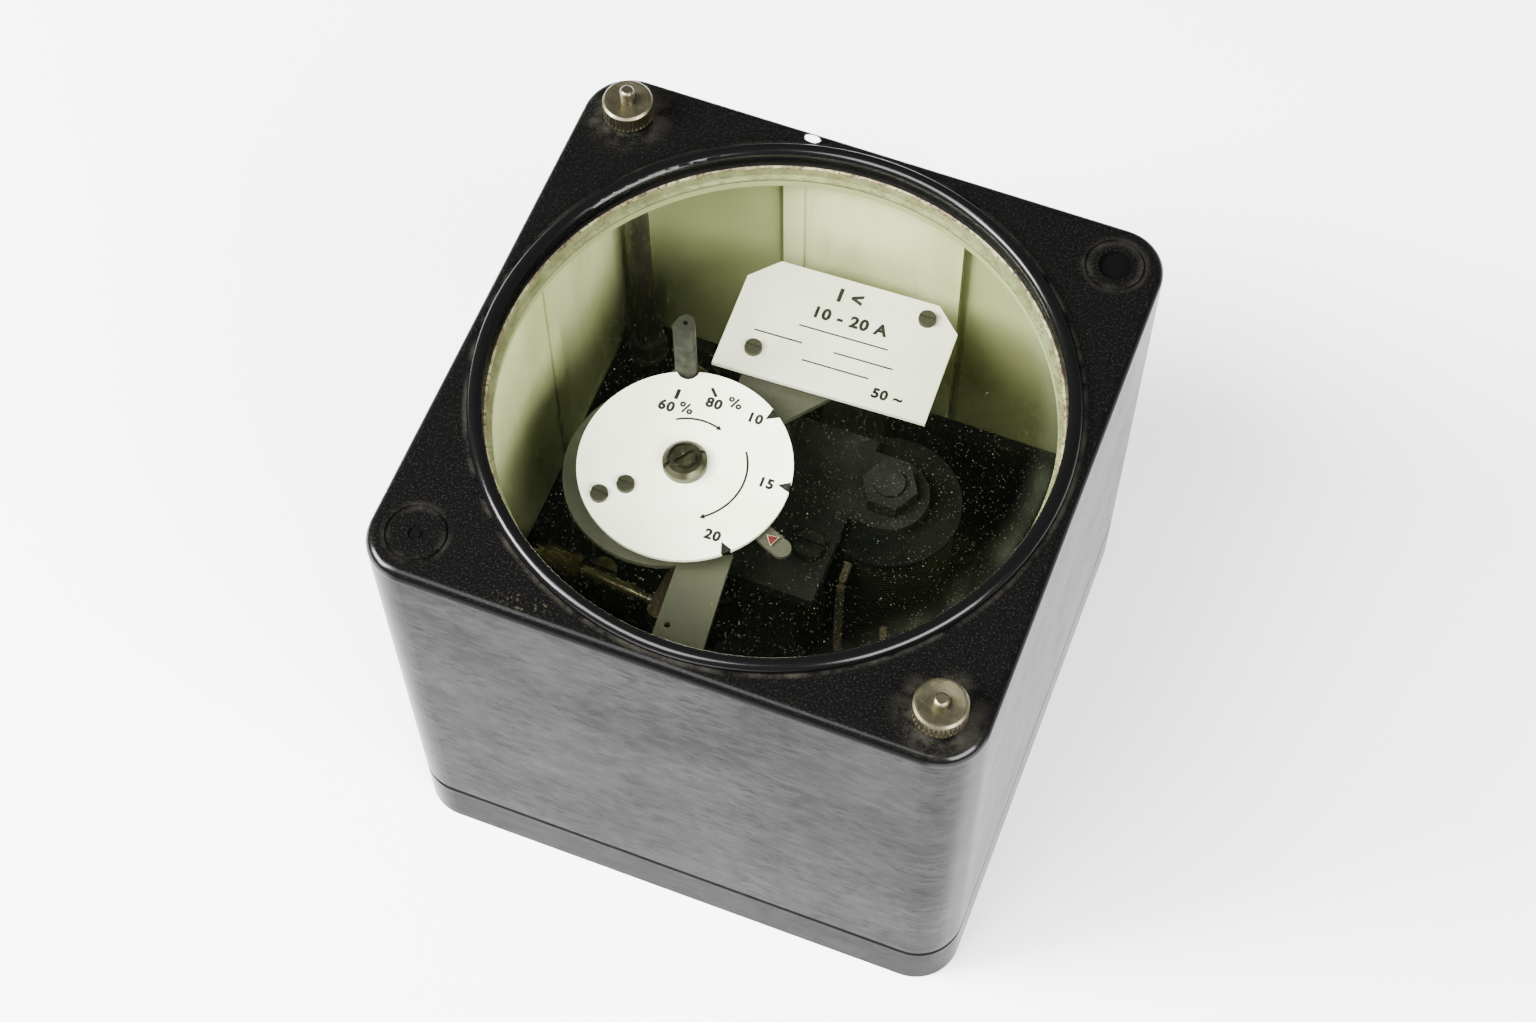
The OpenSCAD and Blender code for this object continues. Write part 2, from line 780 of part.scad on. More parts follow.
// The white setting dial: three V marks in its edge and a round notch for the drop-off spindle
module dial_plate() {
  color(white) difference() {
    at_dial() rod(2 * dial_r, dial_bottom, dial_top, $fn = 96);
    at_dial() rod(bush_d + 2 * seat_gap, dial_bottom - 1, dial_top + 1);
    for (a = mark_angles) at_dial(a) translate([0, 0, dial_bottom - 1]) linear_extrude(dial_t + 2)
      polygon([[dial_r - mark_depth, 0], [dial_r + 1, -mark_w / 2], [dial_r + 1, mark_w / 2]]);
    at([drop_x, drop_y]) rod(drop_d + 2 * drop_notch_gap, dial_bottom - 1, dial_top + 1);
    for (r = dial_screw_radii) at(about_dial(r, dial_screw_angle))
      rod(small_screw_d + 2 * seat_gap, dial_bottom - 1, dial_top + 1);
  }
}

module dial_spacers() {
  color(brass) for (r = dial_screw_radii) at(about_dial(r, dial_screw_angle))
    ring(spacer_d, small_screw_d + 2 * seat_gap, plate_z, dial_bottom);
}

module dial_screws() {
  color(nickel) for (r = dial_screw_radii) at(about_dial(r, dial_screw_angle))
    slotted_screw(head_d, head_h, small_screw_d, dial_lift + sheet_t, dial_top);
}

// The threaded bush in the front plate that the setting finger turns on
module pivot_bush() {
  color(brass) at_dial() difference() {
    union() {
      rod(bush_d, plate_bottom, dial_top + bush_out);
      rod(bush_shoulder_d, plate_z, plate_z + bush_shoulder_h);
    }
    rod(pivot_d + 2 * seat_gap, plate_bottom - 1, far);
  }
}

// The slotted pivot screw, with a cup in its lower end for the armature's upper tip
module pivot_screw() {
  color(nickel) at_dial(-125) difference() {
    rod(pivot_d, plate_bottom, dial_top + pivot_out);
    rod(pivot_tip_d + 2 * run_gap, plate_bottom - 1, plate_bottom + pivot_cup_h);
    translate([0, 0, dial_top + pivot_out]) cube([far, slot_w, 2 * slot_d], center = true);
  }
}

// The slotted ring nut that locks the dial and the pivot
module pivot_lock_nut() {
  r = lock_nut_d / 2;
  color(nickel) at_dial(-138) difference() {
    rotate_extrude() polygon([
      [bush_d / 2 + seat_gap, dial_top], [r, dial_top], [r, dial_top + lock_nut_h - lock_nut_edge],
      [r - lock_nut_edge, dial_top + lock_nut_h], [bush_d / 2 + seat_gap, dial_top + lock_nut_h]
    ]);
    translate([0, 0, dial_top + lock_nut_h]) cube([far, slot_w, 2 * slot_d], center = true);
  }
}

// The lower bearing of the armature, a cup on the base's floor
module lower_bearing() {
  color(brass) at_dial() difference() {
    rod(bearing_d, floor_z, floor_z + bearing_h);
    rod(pivot_tip_d + 2 * run_gap, floor_z + bearing_h - pivot_cup_h, far);
  }
}

module dropoff_bush() {
  color(brass) at([drop_x, drop_y]) difference() {
    union() {
      rod(drop_bush_d, plate_bottom, plate_z);
      rod(drop_flange_d, plate_z, plate_z + drop_flange_t);
      rod(drop_flange_d, plate_bottom - drop_flange_t, plate_bottom);
    }
    rod(drop_shaft_d + 2 * run_gap, 0, far);
  }
}

// The shape that both pole plates share: a wide part whose edge is hollowed round the armature
module pole_outline() {
  difference() {
    children();
    translate([dial_x, dial_y]) circle(pole_face_r);
  }
}

module upper_pole_plate() {
  color(iron) difference() {
    translate([0, 0, upper_z]) linear_extrude(upper_pole_t) pole_outline() {
      translate([plate_left, plate_front]) square([plate_right - plate_left, plate_back - plate_front]);
      translate([plate_right - 1, coil_y - lobe_r]) square([coil_x - plate_right + 1, 2 * lobe_r]);
      translate([coil_x, coil_y]) circle(lobe_r);
    }
    at([coil_x, coil_y]) rod(core_end_d + 2 * seat_gap, upper_z - 1, upper_top + 1);
    at(pole_pillar_at) rod(foot_screw_d + 2 * seat_gap, upper_z - 1, upper_top + 1);
  }
}

module lower_pole_plate() {
  color(iron) difference() {
    translate([0, 0, lower_z]) linear_extrude(lower_pole_t) pole_outline() {
      translate([plate_left, plate_front]) square([plate_right - plate_left, plate_back - plate_front]);
      translate([plate_right - 1, yoke_front]) square([yoke_right - plate_right + 1, yoke_back - yoke_front]);
    }
    at([coil_x, coil_y]) rod(core_end_d + 2 * seat_gap, lower_z - 1, lower_top + 1);
    for (p = foot_points) at(p) rod(foot_screw_d + 2 * seat_gap, lower_z - 1, lower_top + 1);
  }
}

// Distance pieces under the lower pole plate
module magnet_feet() {
  color(brass) for (p = foot_points) at(p) ring(foot_d, foot_screw_d + 2 * seat_gap, floor_z, lower_z);
}

module magnet_screws() {
  color(nickel) {
    for (p = foot_points) at(p)
      slotted_screw(
        foot_head_d, foot_head_h, foot_screw_d, lower_top - floor_z + foot_screw_h - 1, lower_top);
    at(pole_pillar_at) slotted_screw(foot_head_d, foot_head_h, foot_screw_d, upper_pole_t + 6, upper_top);
  }
}

// The magnet's round core, with a thinner end through each pole plate
module magnet_core() {
  color(iron) at([coil_x, coil_y]) {
    rod(core_d, lower_top, upper_z);
    rod(core_end_d, lower_z, upper_top + core_nut_h + 1);
  }
}

module core_nut() {
  color(nickel) at([coil_x, coil_y])
    hex_nut(core_nut_af, core_end_d + 2 * seat_gap, upper_top, upper_top + core_nut_h);
}

// The brass pillar that holds the two pole plates apart near the armature
module pole_pillar() {
  color(brass) at(pole_pillar_at) difference() {
    rod(pole_pillar_d, lower_top, upper_z);
    rod(foot_screw_d + 2 * seat_gap, upper_z - 8, upper_z + 1);
  }
}

module coil_bobbin() {
  tube_d = core_d + 2 * core_gap + 2 * tube_t;
  color(paxolin) at([coil_x, coil_y]) difference() {
    union() {
      rod(tube_d, lower_top, upper_z);
      rod(cheek_d, lower_top, lower_top + cheek_t);
      rod(cheek_d, upper_z - cheek_t, upper_z);
    }
    rod(core_d + 2 * core_gap, 0, far);
  }
}

module coil_winding() {
  tube_d = core_d + 2 * core_gap + 2 * tube_t;
  color([0.25, 0.13, 0.07]) at([coil_x, coil_y])
    ring(coil_d, tube_d + 2 * seat_gap, lower_top + cheek_t, upper_z - cheek_t);
}

// The insulating block that carries the contact posts
module contact_block() {
  color(black) difference() {
    translate([block_x[0], block_y[0], floor_z])
      cube([block_x[1] - block_x[0], block_y[1] - block_y[0], block_h]);
    for (p = [free_post, contact_post()]) at(p) rod(post_screw_d + 2 * seat_gap, floor_z + 1, far);
    for (p = block_screws) at(p) rod(foot_screw_d + 2 * seat_gap, 0, far);
  }
}

module contact_block_screws() {
  color(nickel) for (p = block_screws) at(p)
    slotted_screw(foot_head_d, foot_head_h, foot_screw_d, block_h + foot_screw_h - 1, block_top);
}

// The contact screw's own frame: +X runs along its axis towards the moving contact, from the contact's middle
module along_contact() {
  at_dial(contact_angle) translate([screw_axis_r, -arm_w / 2 - button_h - contact_gap, contact_z])
    rotate([0, 0, 90]) children();
}

// The middle of the contact post's barrel in plan
function contact_post() =
  let (a = contact_angle, u = [cos(a), sin(a)], v = [-sin(a), cos(a)])
  [dial_x, dial_y] + screw_axis_r * u
    - (arm_w / 2 + button_h + contact_gap + barrel_start + barrel_len / 2) * v;

// Two brass posts: one with a cross barrel for the contact screw, one for a lead
module contact_posts() {
  color(brass) {
    difference() {
      union() {
        at(contact_post()) rod(post_d, block_top, contact_z);
        along_contact() rotate([0, -90, 0]) rod(barrel_d, barrel_start, barrel_start + barrel_len);
      }
      along_contact() rotate([0, -90, 0])
        rod(contact_screw_d + 2 * seat_gap, barrel_start - 1, barrel_start + barrel_len + 1);
    }
    at(contact_post()) rod(post_screw_d, block_top - post_shank_h, block_top + eps);
    at(free_post) {
      rod(post_d, block_top, contact_z - 2);
      rod(post_screw_d, contact_z - 2 - eps, contact_z - 2 + post_out);
      rod(post_screw_d, block_top - post_shank_h, block_top + eps);
    }
  }
}

// The adjustable contact screw with its silver tip
module contact_screw() {
  color(nickel) along_contact() rotate([0, -90, 0]) difference() {
    union() {
      rod(contact_tip_d, 0, contact_tip_h + eps);
      rod(contact_screw_d, contact_tip_h, barrel_start + barrel_len + 3);
    }
    translate([0, 0, barrel_start + barrel_len + 3]) cube([far, slot_w * 0.7, 2 * slot_d], center = true);
  }
}

module contact_lock_nut() {
  color(brass) along_contact() rotate([0, -90, 0])
    hex_nut(lock_nut_af, contact_screw_d + 2 * seat_gap, barrel_start - lock_nut_t, barrel_start);
}

module post_nut() {
  color(brass) at(free_post)
    hex_nut(post_d, post_screw_d + 2 * seat_gap, contact_z - 2, contact_z - 2 + post_nut_h);
}

module coil_leads() {
  color([0.55, 0.45, 0.22]) {
    wire(coil_lead_a, lead_d);
    wire(coil_lead_b, lead_d);
  }
}

module contact_leads() {
  color([0.55, 0.45, 0.22]) {
    wire(contact_lead_a, lead_d);
    wire(contact_lead_b, lead_d);
  }
}

// The armature's spindle with a fine tip at each end
module armature_spindle() {
  low = floor_z + bearing_h;
  color(nickel) at_dial() {
    rod(spindle_d, low + tip_gap, plate_bottom - tip_gap);
    rod(pivot_tip_d, low - pivot_cup_h + tip_gap, low + tip_gap + eps);
    rod(pivot_tip_d, plate_bottom - tip_gap - eps, plate_bottom + pivot_cup_h - tip_gap);
  }
}

// The soft-iron vane that the poles pull round, with its clamping hub
module armature_vane() {
  low = lower_z;
  high = upper_top;
  color(iron) at_dial(vane_angle) difference() {
    union() {
      rod(vane_hub_d, low, high);
      translate([0, 0, low]) linear_extrude(high - low) intersection() {
        circle(vane_r);
        polygon([[0, 0], for (a = [-vane_deg / 2, 0, vane_deg / 2]) 2 * vane_r * [cos(a), sin(a)]]);
      }
    }
    rod(spindle_d + 2 * seat_gap, 0, far);
    rod(arm_hub_d + 2 * vane_gap, contact_z - arm_t / 2 - vane_gap, contact_z + arm_t / 2 + vane_gap);
  }
}

// The insulating arm that carries the moving contact
module contact_arm() {
  z0 = contact_z - arm_t / 2;
  color(paxolin) at_dial(contact_angle) difference() {
    union() {
      rod(arm_hub_d, z0, z0 + arm_t);
      translate([0, -arm_w / 2, z0]) cube([contact_r + 2.5, arm_w, arm_t]);
      translate([contact_r + 2.5, 0, 0]) rod(arm_w, z0, z0 + arm_t);
    }
    rod(spindle_d + 2 * seat_gap, 0, far);
    translate([contact_r, 0, contact_z]) rotate([90, 0, 0]) rod(1.6, -far, far);
  }
}

// The silver contact button, riveted through the arm
module moving_contact() {
  color([0.75, 0.75, 0.72]) at_dial(contact_angle) translate([contact_r, 0, contact_z]) rotate([90, 0, 0]) {
    rod(1.5, -arm_w / 2 - 0.5, arm_w / 2 + eps);
    rod(button_d, arm_w / 2, arm_w / 2 + button_h);
    rod(button_d, -arm_w / 2 - 0.7, -arm_w / 2);
  }
}

// The brass arm that meets the drop-off cam, with a tail for the balance weight
module stop_arm() {
  color(brass) at_dial(stop_angle) difference() {
    union() {
      rod(stop_hub_d, stop_z, stop_z + stop_t);
      translate([-tail_len, -stop_w / 2, stop_z]) cube([stop_len + tail_len, stop_w, stop_t]);
      translate([stop_len, 0, 0]) rod(stop_w, stop_z, stop_z + stop_t);
      translate([-tail_len, 0, 0]) rod(stop_w, stop_z, stop_z + stop_t);
    }
    rod(spindle_d + 2 * seat_gap, 0, far);
  }
}

module balance_weight() {
  color(brass) at_dial(stop_angle) translate([-tail_len + 1, 0, 0]) rod(weight_d, stop_z - weight_h, stop_z);
}

// The collet that holds the inner end of the control spring
module spring_collet() {
  color(brass) at_dial()
    ring(collet_d, spindle_d + 2 * seat_gap, stop_z + stop_t, spring_z + spring_h + collet_gap);
}

// The setting finger: a hub on the pivot bush and a flat arm whose end shows outside the dial
module pointer_arm() {
  top = dial_bottom - finger_drop;
  color(grey_paint) at_dial(finger_angle) difference() {
    union() {
      rod(hub_d, plate_z + bush_shoulder_h, dial_bottom - hub_gap);
      translate([0, -finger_w / 2, top - finger_t]) cube([finger_len - finger_w / 2, finger_w, finger_t]);
      translate([finger_len - finger_w / 2, 0, 0]) rod(finger_w, top - finger_t, top);
    }
    rod(bush_d + 2 * run_gap, 0, far);
    translate([pin_r, 0, 0]) rod(pin_d + 2 * seat_gap, top - finger_t - 1, top + 1);
  }
}

// The pin that carries the control spring's outer end, riveted in the finger
module spring_pin() {
  color(brass) at_dial(finger_angle) translate([pin_r, 0, 0])
    rod(pin_d, spring_z, dial_bottom - finger_drop);
}

// The flat spiral control spring between the pin and the collet
function spiral(r0, r1, i, n) = r0 + (r1 - r0) * i / n;
module control_spring() {
  n = spring_turns * spring_steps;
  step = 360 / spring_steps;
  path = [for (i = [0:n]) [spiral(spring_in, spring_out, i, n), i * step]];
  outer = [for (p = path) (p[0] + spring_t / 2) * [cos(p[1]), sin(p[1])]];
  inner = [for (i = [n:-1:0]) (path[i][0] - spring_t / 2) * [cos(path[i][1]), sin(path[i][1])]];
  color([0.3, 0.28, 0.2]) at_dial(finger_angle) translate([0, 0, spring_z])
    linear_extrude(spring_h) polygon(concat(outer, inner));
}

// The drop-off spindle: a head with one sharp corner as its pointer, a shaft in the bush and a cam below
module dropoff_spindle() {
  head_z = dial_top + 1;
  top = dial_top + drop_h;
  color(nickel) at([drop_x, drop_y]) rotate([0, 0, drop_angle]) difference() {
    union() {
      rod(drop_shaft_d, drop_low_z, plate_z + drop_flange_t + drop_head_gap + eps);
      rod(drop_d, plate_z + drop_flange_t + drop_head_gap, top);
      rotate([0, 0, -45]) translate([0, 0, head_z]) cube([drop_d / 2, drop_d / 2, top - head_z]);
      translate([-drop_cam_off, 0, 0]) rod(2 * drop_cam_r, drop_low_z, drop_low_z + drop_cam_h);
    }
    rod(drop_hole_d, top - 2, top + 1);
  }
}

// The raised panels inside the cover's four walls
module wall_panels() {
  depth = wall_t / 2 + panel_d;
  for (turn = [0:90:270]) {
    rotate([0, 0, turn]) translate([0, cavity_half - panel_d, panel_z]) difference() {
      translate([-panel_w / 2, 0, 0]) cube([panel_w, depth, ceiling_z - panel_z + 1]);
      translate([panel_band - panel_w / 2, -1, -1]) cube([panel_w - 2 * panel_band, 1 + panel_hollow, far]);
    }
  }
}

// The moulded cover: a square shell with a beaded round window, a ledge for the glass and corner marks
module cover() {
  color(black) difference() {
    union() {
      difference() {
        translate([0, 0, cover_z]) rounded_block(half_w, corner_r, case_h - cover_z, edge_r);
        linear_extrude(ceiling_z) rounded_square(cavity_half, cavity_r);
      }
      wall_panels();
      rod(2 * (window_r + collar_t), ledge_z - ledge_t, ceiling_z + 1, $fn = 128);
      rotate_extrude($fn = 128) translate([bead_c, case_h + bead_rise]) circle(bead_r, $fn = 32);
    }
    rod(2 * ledge_r, 0, far, $fn = 128);
    rod(2 * window_r, ledge_z, far, $fn = 128);
    for (p = stud_corners) at(p) rod(stud_hole_d, ceiling_z - 1, far);
    at(hole_corners[0]) {
      ring(ring_d, ring_d - 2 * ring_groove, case_h - ring_step, far);
      rod(recess_d, case_h - recess_h, far);
    }
    at(hole_corners[1]) {
      ring(ring_d, ring_d - 2 * ring_groove, case_h - ring_step, far);
      ring(dimple_d, dimple_in, case_h - ring_step, far);
    }
  }
}

module window_glass() {
  color([0.7, 0.78, 0.7, 0.3]) rod(2 * (window_r - glass_gap), glass_top - glass_t, glass_top, $fn = 128);
}

// The cement that beds the glass on its ledge and rises round its edge
module glass_cement() {
  in = ledge_r + cement_back;
  out = window_r - cement_clear;
  side = window_r - glass_gap + cement_clear;
  bed_z = ledge_z + cement_t;
  rise_z = glass_top - cement_low;
  color([0.5, 0.42, 0.25]) rotate_extrude($fn = 128) polygon([
    [in, ledge_z], [out, ledge_z], [out, rise_z], [side, rise_z], [side, bed_z], [in, bed_z]
  ]);
}

// A knurled thumb nut on top of the cover
module thumb_nut(p) {
  r = thumb_d / 2;
  bore = stud_end_d / 2 + run_gap;
  color(nickel) at(p) translate([0, 0, case_h]) difference() {
    rotate_extrude() polygon([
      [bore, 0], [r - thumb_edge, 0], [r, thumb_edge], [r, thumb_h - thumb_edge],
      [r - thumb_edge, thumb_h], [r - thumb_rim, thumb_h], [bore, thumb_h - thumb_dish]
    ]);
    for (i = [0:knurl_n - 1]) rotate([0, 0, 360 * i / knurl_n]) translate([r, 0, knurl_land])
      linear_extrude(thumb_h - 2 * knurl_land) rotate(45) square(knurl_depth * sqrt(2), center = true);
  }
}

module thumb_nut_upper() {
  thumb_nut(stud_corners[0]);
}

module thumb_nut_lower() {
  thumb_nut(stud_corners[1]);
}

base();
cover_gasket();
terminal_bushes();
terminal_nuts();
lead_tags();
cover_studs();
stud_washers();
stud_nuts();
mechanism_frame();
frame_screws();
label_plate();
label_pillars();
label_screws();
dial_plate();
dial_spacers();
dial_screws();
pivot_bush();
pivot_screw();
pivot_lock_nut();
lower_bearing();
dropoff_bush();
upper_pole_plate();
lower_pole_plate();
magnet_feet();
magnet_screws();
magnet_core();
core_nut();
pole_pillar();
coil_bobbin();
coil_winding();
contact_block();
contact_block_screws();
contact_posts();
contact_screw();
contact_lock_nut();
post_nut();
coil_leads();
contact_leads();
armature_spindle();
armature_vane();
contact_arm();
moving_contact();
stop_arm();
balance_weight();
spring_collet();
pointer_arm();
spring_pin();
control_spring();
dropoff_spindle();
cover();
window_glass();
glass_cement();
thumb_nut_upper();
thumb_nut_lower();
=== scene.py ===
"""Looks of a square moulded protection relay: finishes, print, window cement, camera and light."""
import json
import math

import bmesh
import bpy
from mathutils import Matrix, Vector, noise


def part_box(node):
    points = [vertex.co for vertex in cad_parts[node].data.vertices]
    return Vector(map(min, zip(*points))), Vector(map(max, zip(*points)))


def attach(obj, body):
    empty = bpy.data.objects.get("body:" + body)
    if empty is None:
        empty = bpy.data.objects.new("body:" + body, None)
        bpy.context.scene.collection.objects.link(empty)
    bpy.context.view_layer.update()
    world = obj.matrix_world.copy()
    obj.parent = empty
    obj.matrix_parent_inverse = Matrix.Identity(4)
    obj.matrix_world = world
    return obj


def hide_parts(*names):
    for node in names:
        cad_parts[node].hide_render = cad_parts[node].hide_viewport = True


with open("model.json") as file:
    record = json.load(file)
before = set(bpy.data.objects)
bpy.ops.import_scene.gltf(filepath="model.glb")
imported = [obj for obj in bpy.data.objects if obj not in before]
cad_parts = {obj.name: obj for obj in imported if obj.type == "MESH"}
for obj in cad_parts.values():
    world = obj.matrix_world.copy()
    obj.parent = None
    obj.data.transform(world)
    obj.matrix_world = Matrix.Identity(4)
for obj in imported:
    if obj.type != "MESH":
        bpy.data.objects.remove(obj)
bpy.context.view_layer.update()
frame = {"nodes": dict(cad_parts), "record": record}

MM = 0.001
UP = Vector((0, 0, 1))

# Camera, fitted to the case's corners in the photograph
PHOTO_WIDTH = 1536
FOCAL_PIXELS = 2764.03
SENSOR = 36
AZIMUTH = 21.816
ELEVATION = 61.216
ROLL = -0.7918
CAMERA_TARGET = Vector((-6.814, 11.617, 60)) * MM
CAMERA_DISTANCE = 732.02 * MM
CAMERA_NEAR = 10 * MM

# Studio floor, half its side in metres
FLOOR_HALF = 3

# Studio sky: height where it starts to fade, height where it is dark, and its two colours
SKY_EDGE = 0.05
SKY_DARK = 0.6
SKY_HORIZON = (0.6, 0.6, 0.6, 1)
SKY_OVERHEAD = (0.26, 0.26, 0.26, 1)

# Softboxes: name, direction from the case, distance and size in metres, and power in watts
SOFTBOXES = (
    ("key_softbox", (-0.7, -0.37, 0.61), 1.3, (0.6, 0.5), 105),
    ("high_softbox", (-0.3, -0.47, 0.9), 1.5, (0.9, 0.7), 75),
    ("fill_softbox", (0.73, -0.38, 0.62), 1.6, (1.0, 0.8), 100),
)

# Case, in millimetres; nuts and corner rings stand at FIXING along X and Y
HALF_WIDTH = 76
CORNER_RADIUS = 12
CORNER_CENTRE = HALF_WIDTH - CORNER_RADIUS
CASE_TOP = 141
BASE_FLOOR = 13.5
FIXING = 64
NUT_RADIUS = 6.4
RING_RADIUS = 7
BEAD_MIDDLE = 71.05
BEAD_HALF = 2.2
STUD_PITCH = 0.7
WIRE_PITCH = 1.3

# Marks of wear on the cover, in millimetres: the middle and half size of the chip and the scuff in
# plan, how far forward the chip reaches, and how far under the top the edge is rubbed
CHIP_PLACE = (-18.2, 73.4)
CHIP_SIZE = (2, 1.1)
CHIP_FRONT = 70
SCUFF_PLACE = (-34, -71.8)
SCUFF_SIZE = (9, 2.4)
RIM_WEAR_DROP = 2.2

# Inside of the cover: paint, ledge, thickened panels and the offset of the painted shadow strips
# beside them, in millimetres
PAINT_REACH = 9.7
PAINT_TOP = 133.2
LEDGE_LOW = 131
PANEL_EDGE = 24.5
PANEL_SHADOW_OFFSET = 0.9
WALL_INSIDE = 71.5
PANEL_FACE = WALL_INSIDE - 1.9

# Glass, the haze towards its rim, and its cement, in millimetres
LEDGE_RADIUS = 67.8
GLASS_RADIUS = 69.0
GLASS_TOP = 137
HAZE_INSIDE = 60
HAZE_MIDDLE = 67
CEMENT_RADIUS = 69.25
CEMENT_GAP = 0.02
CEMENT_STEPS = 480
LIP_RADIUS = 68.75
LIP_BACK = 0.5
LIP_FRONT = 0.2
LIP_WAVES = 9
LIP_SWELL = 0.35
LIP_CRUMBLE = 0.3
LIP_LEAST = -0.2
LIP_MOST = 0.7

# Ink, in millimetres or as a share of the letters' height
INK_DEPTH = 0.04
INK_WEIGHT = 0.075
LETTER_SPACE = 1.14
CAPITAL_SHARE = 0.7
CURVE_STEPS = 6
ARC_STEPS = 24

# Dial print, in millimetres: words are given with their height and place, ticks with their width
# and ends, arcs with their radius and the angles of their tip and tail
DIAL = Vector((-21.7, -6.3))
DIAL_TURN = 2
DIAL_NUMBERS = (
    ("10", 2.6, -10.2, 12.1), ("15", 2.6, -0.9, -4.3), ("20", 2.6, -7.9, -22.6),
    ("60", 2.7, -32.4, 7.7), ("80", 2.7, -21.4, 12.5),
)
PERCENT_HEIGHT = 2.8
PERCENT_PLACES = ((-27.5, 8.9), (-16.5, 14.6))
DIAL_TICKS = ((1.05, (-31.1, 13.4), (-31.0, 10.4)), (0.85, (-23.6, 16.7), (-21.6, 14.6)))
MARK_ANGLES = (53.9, 6.5, -46)
MARK_CORNERS = ((23.75, 0), (26.9, -1.5), (26.9, 1.5))
DIAL_ARCS = ((15.6, -52, 34), (13.2, 72, 122))
ARC_WIDTH = 0.6
ARC_TIP = 0.95

# Percent sign, as shares of its height
PERCENT_RINGS = ((-0.4, 0.28), (0.4, -0.28))
PERCENT_RADIUS = 0.18
PERCENT_STROKE = 0.22
PERCENT_LENGTH = 1.15
PERCENT_SLANT = -24

# Label print and the finger's arrow with its painted highlight rim, in millimetres: lines are given
# with their width and place
LABEL = Vector((0.36, 44.5))
LABEL_TURN = 2.1
LABEL_WORDS = (("I <", 3.8, -1, 12.2), ("10 - 20 A", 3.2, 1, 5.4), ("50 ~", 2.7, 17, -13))
LABEL_LINES = ((24, 1, 0.4), (13, -15, -4.6), (16, 8, -4.8), (18, 2, -9.4))
LINE_WEIGHT = 0.45
FINGER_ANGLE = -22.5
ARROW_REACH = 29.9
ARROW_HIGHLIGHT = 1.95
ARROW_SIZE = 1.65

# Gloss of the phenolic moulding, and the glass's tint and its shine seen square on
MOULDING_IOR = 1.05
MOULDING_BUMP = 0.05
COAT_ROUGHNESS = 0.18
GLASS_TINT = (0.98, 0.985, 0.94, 1)
GLASS_SHINE = 0.022


def shade(red, green, blue):
    """A screen colour out of 255 as the linear colour that a shader takes."""
    def linear(part):
        part /= 255
        return part / 12.92 if part <= 0.04045 else ((part + 0.055) / 1.055) ** 2.4
    return (linear(red), linear(green), linear(blue), 1)


class Value:
    """A shader socket whose arithmetic adds Math nodes."""

    def __init__(self, finish, socket):
        self.finish = finish
        self.socket = socket

    def output(self, name):
        return Value(self.finish, self.socket.node.outputs[name])

    def math(self, operation, *terms):
        return self.finish.node("ShaderNodeMath", {"operation": operation}, dict(enumerate(terms)))

    def __add__(self, other):
        return self.math("ADD", self, other)

    def __radd__(self, other):
        return self.math("ADD", other, self)

    def __sub__(self, other):
        return self.math("SUBTRACT", self, other)

    def __rsub__(self, other):
        return self.math("SUBTRACT", other, self)

    def __mul__(self, other):
        return self.math("MULTIPLY", self, other)

    def __rmul__(self, other):
        return self.math("MULTIPLY", other, self)

    def __truediv__(self, other):
        return self.math("DIVIDE", self, other)

    def __pow__(self, other):
        return self.math("POWER", self, other)

    def __abs__(self):
        return self.math("ABSOLUTE", self)

    def __lt__(self, other):
        return self.math("LESS_THAN", self, other)

    def __gt__(self, other):
        return self.math("GREATER_THAN", self, other)

    def most(self, other):
        return self.math("MAXIMUM", self, other)

    def least(self, other):
        return self.math("MINIMUM", self, other)

    def sine(self):
        return self.math("SINE", self)


class Nodes:
    """An emptied node tree, and the one method that adds a node to it."""

    def __init__(self, owner):
        owner.use_nodes = True
        self.tree = owner.node_tree
        self.tree.nodes.clear()

    def node(self, kind, settings, inputs, output=0):
        made = self.tree.nodes.new(kind)
        for name, setting in settings.items():
            setattr(made, name, setting)
        for key, entry in inputs.items():
            if isinstance(entry, Value):
                self.tree.links.new(entry.socket, made.inputs[key])
            else:
                made.inputs[key].default_value = entry
        return Value(self, made.outputs[output]) if made.outputs else None

    def ramp(self, value, low, high):
        """0 at low and 1 at high, smooth between; low may be the larger."""
        return self.node("ShaderNodeMapRange", {"interpolation_type": "SMOOTHSTEP"}, {
            "Value": value, "From Min": low, "From Max": high})

    def mix(self, share, first, second):
        """The first colour where share is 0 and the second where it is 1."""
        return self.node(
            "ShaderNodeMix", {"data_type": "RGBA"}, {0: share, 6: first, 7: second}, 2)


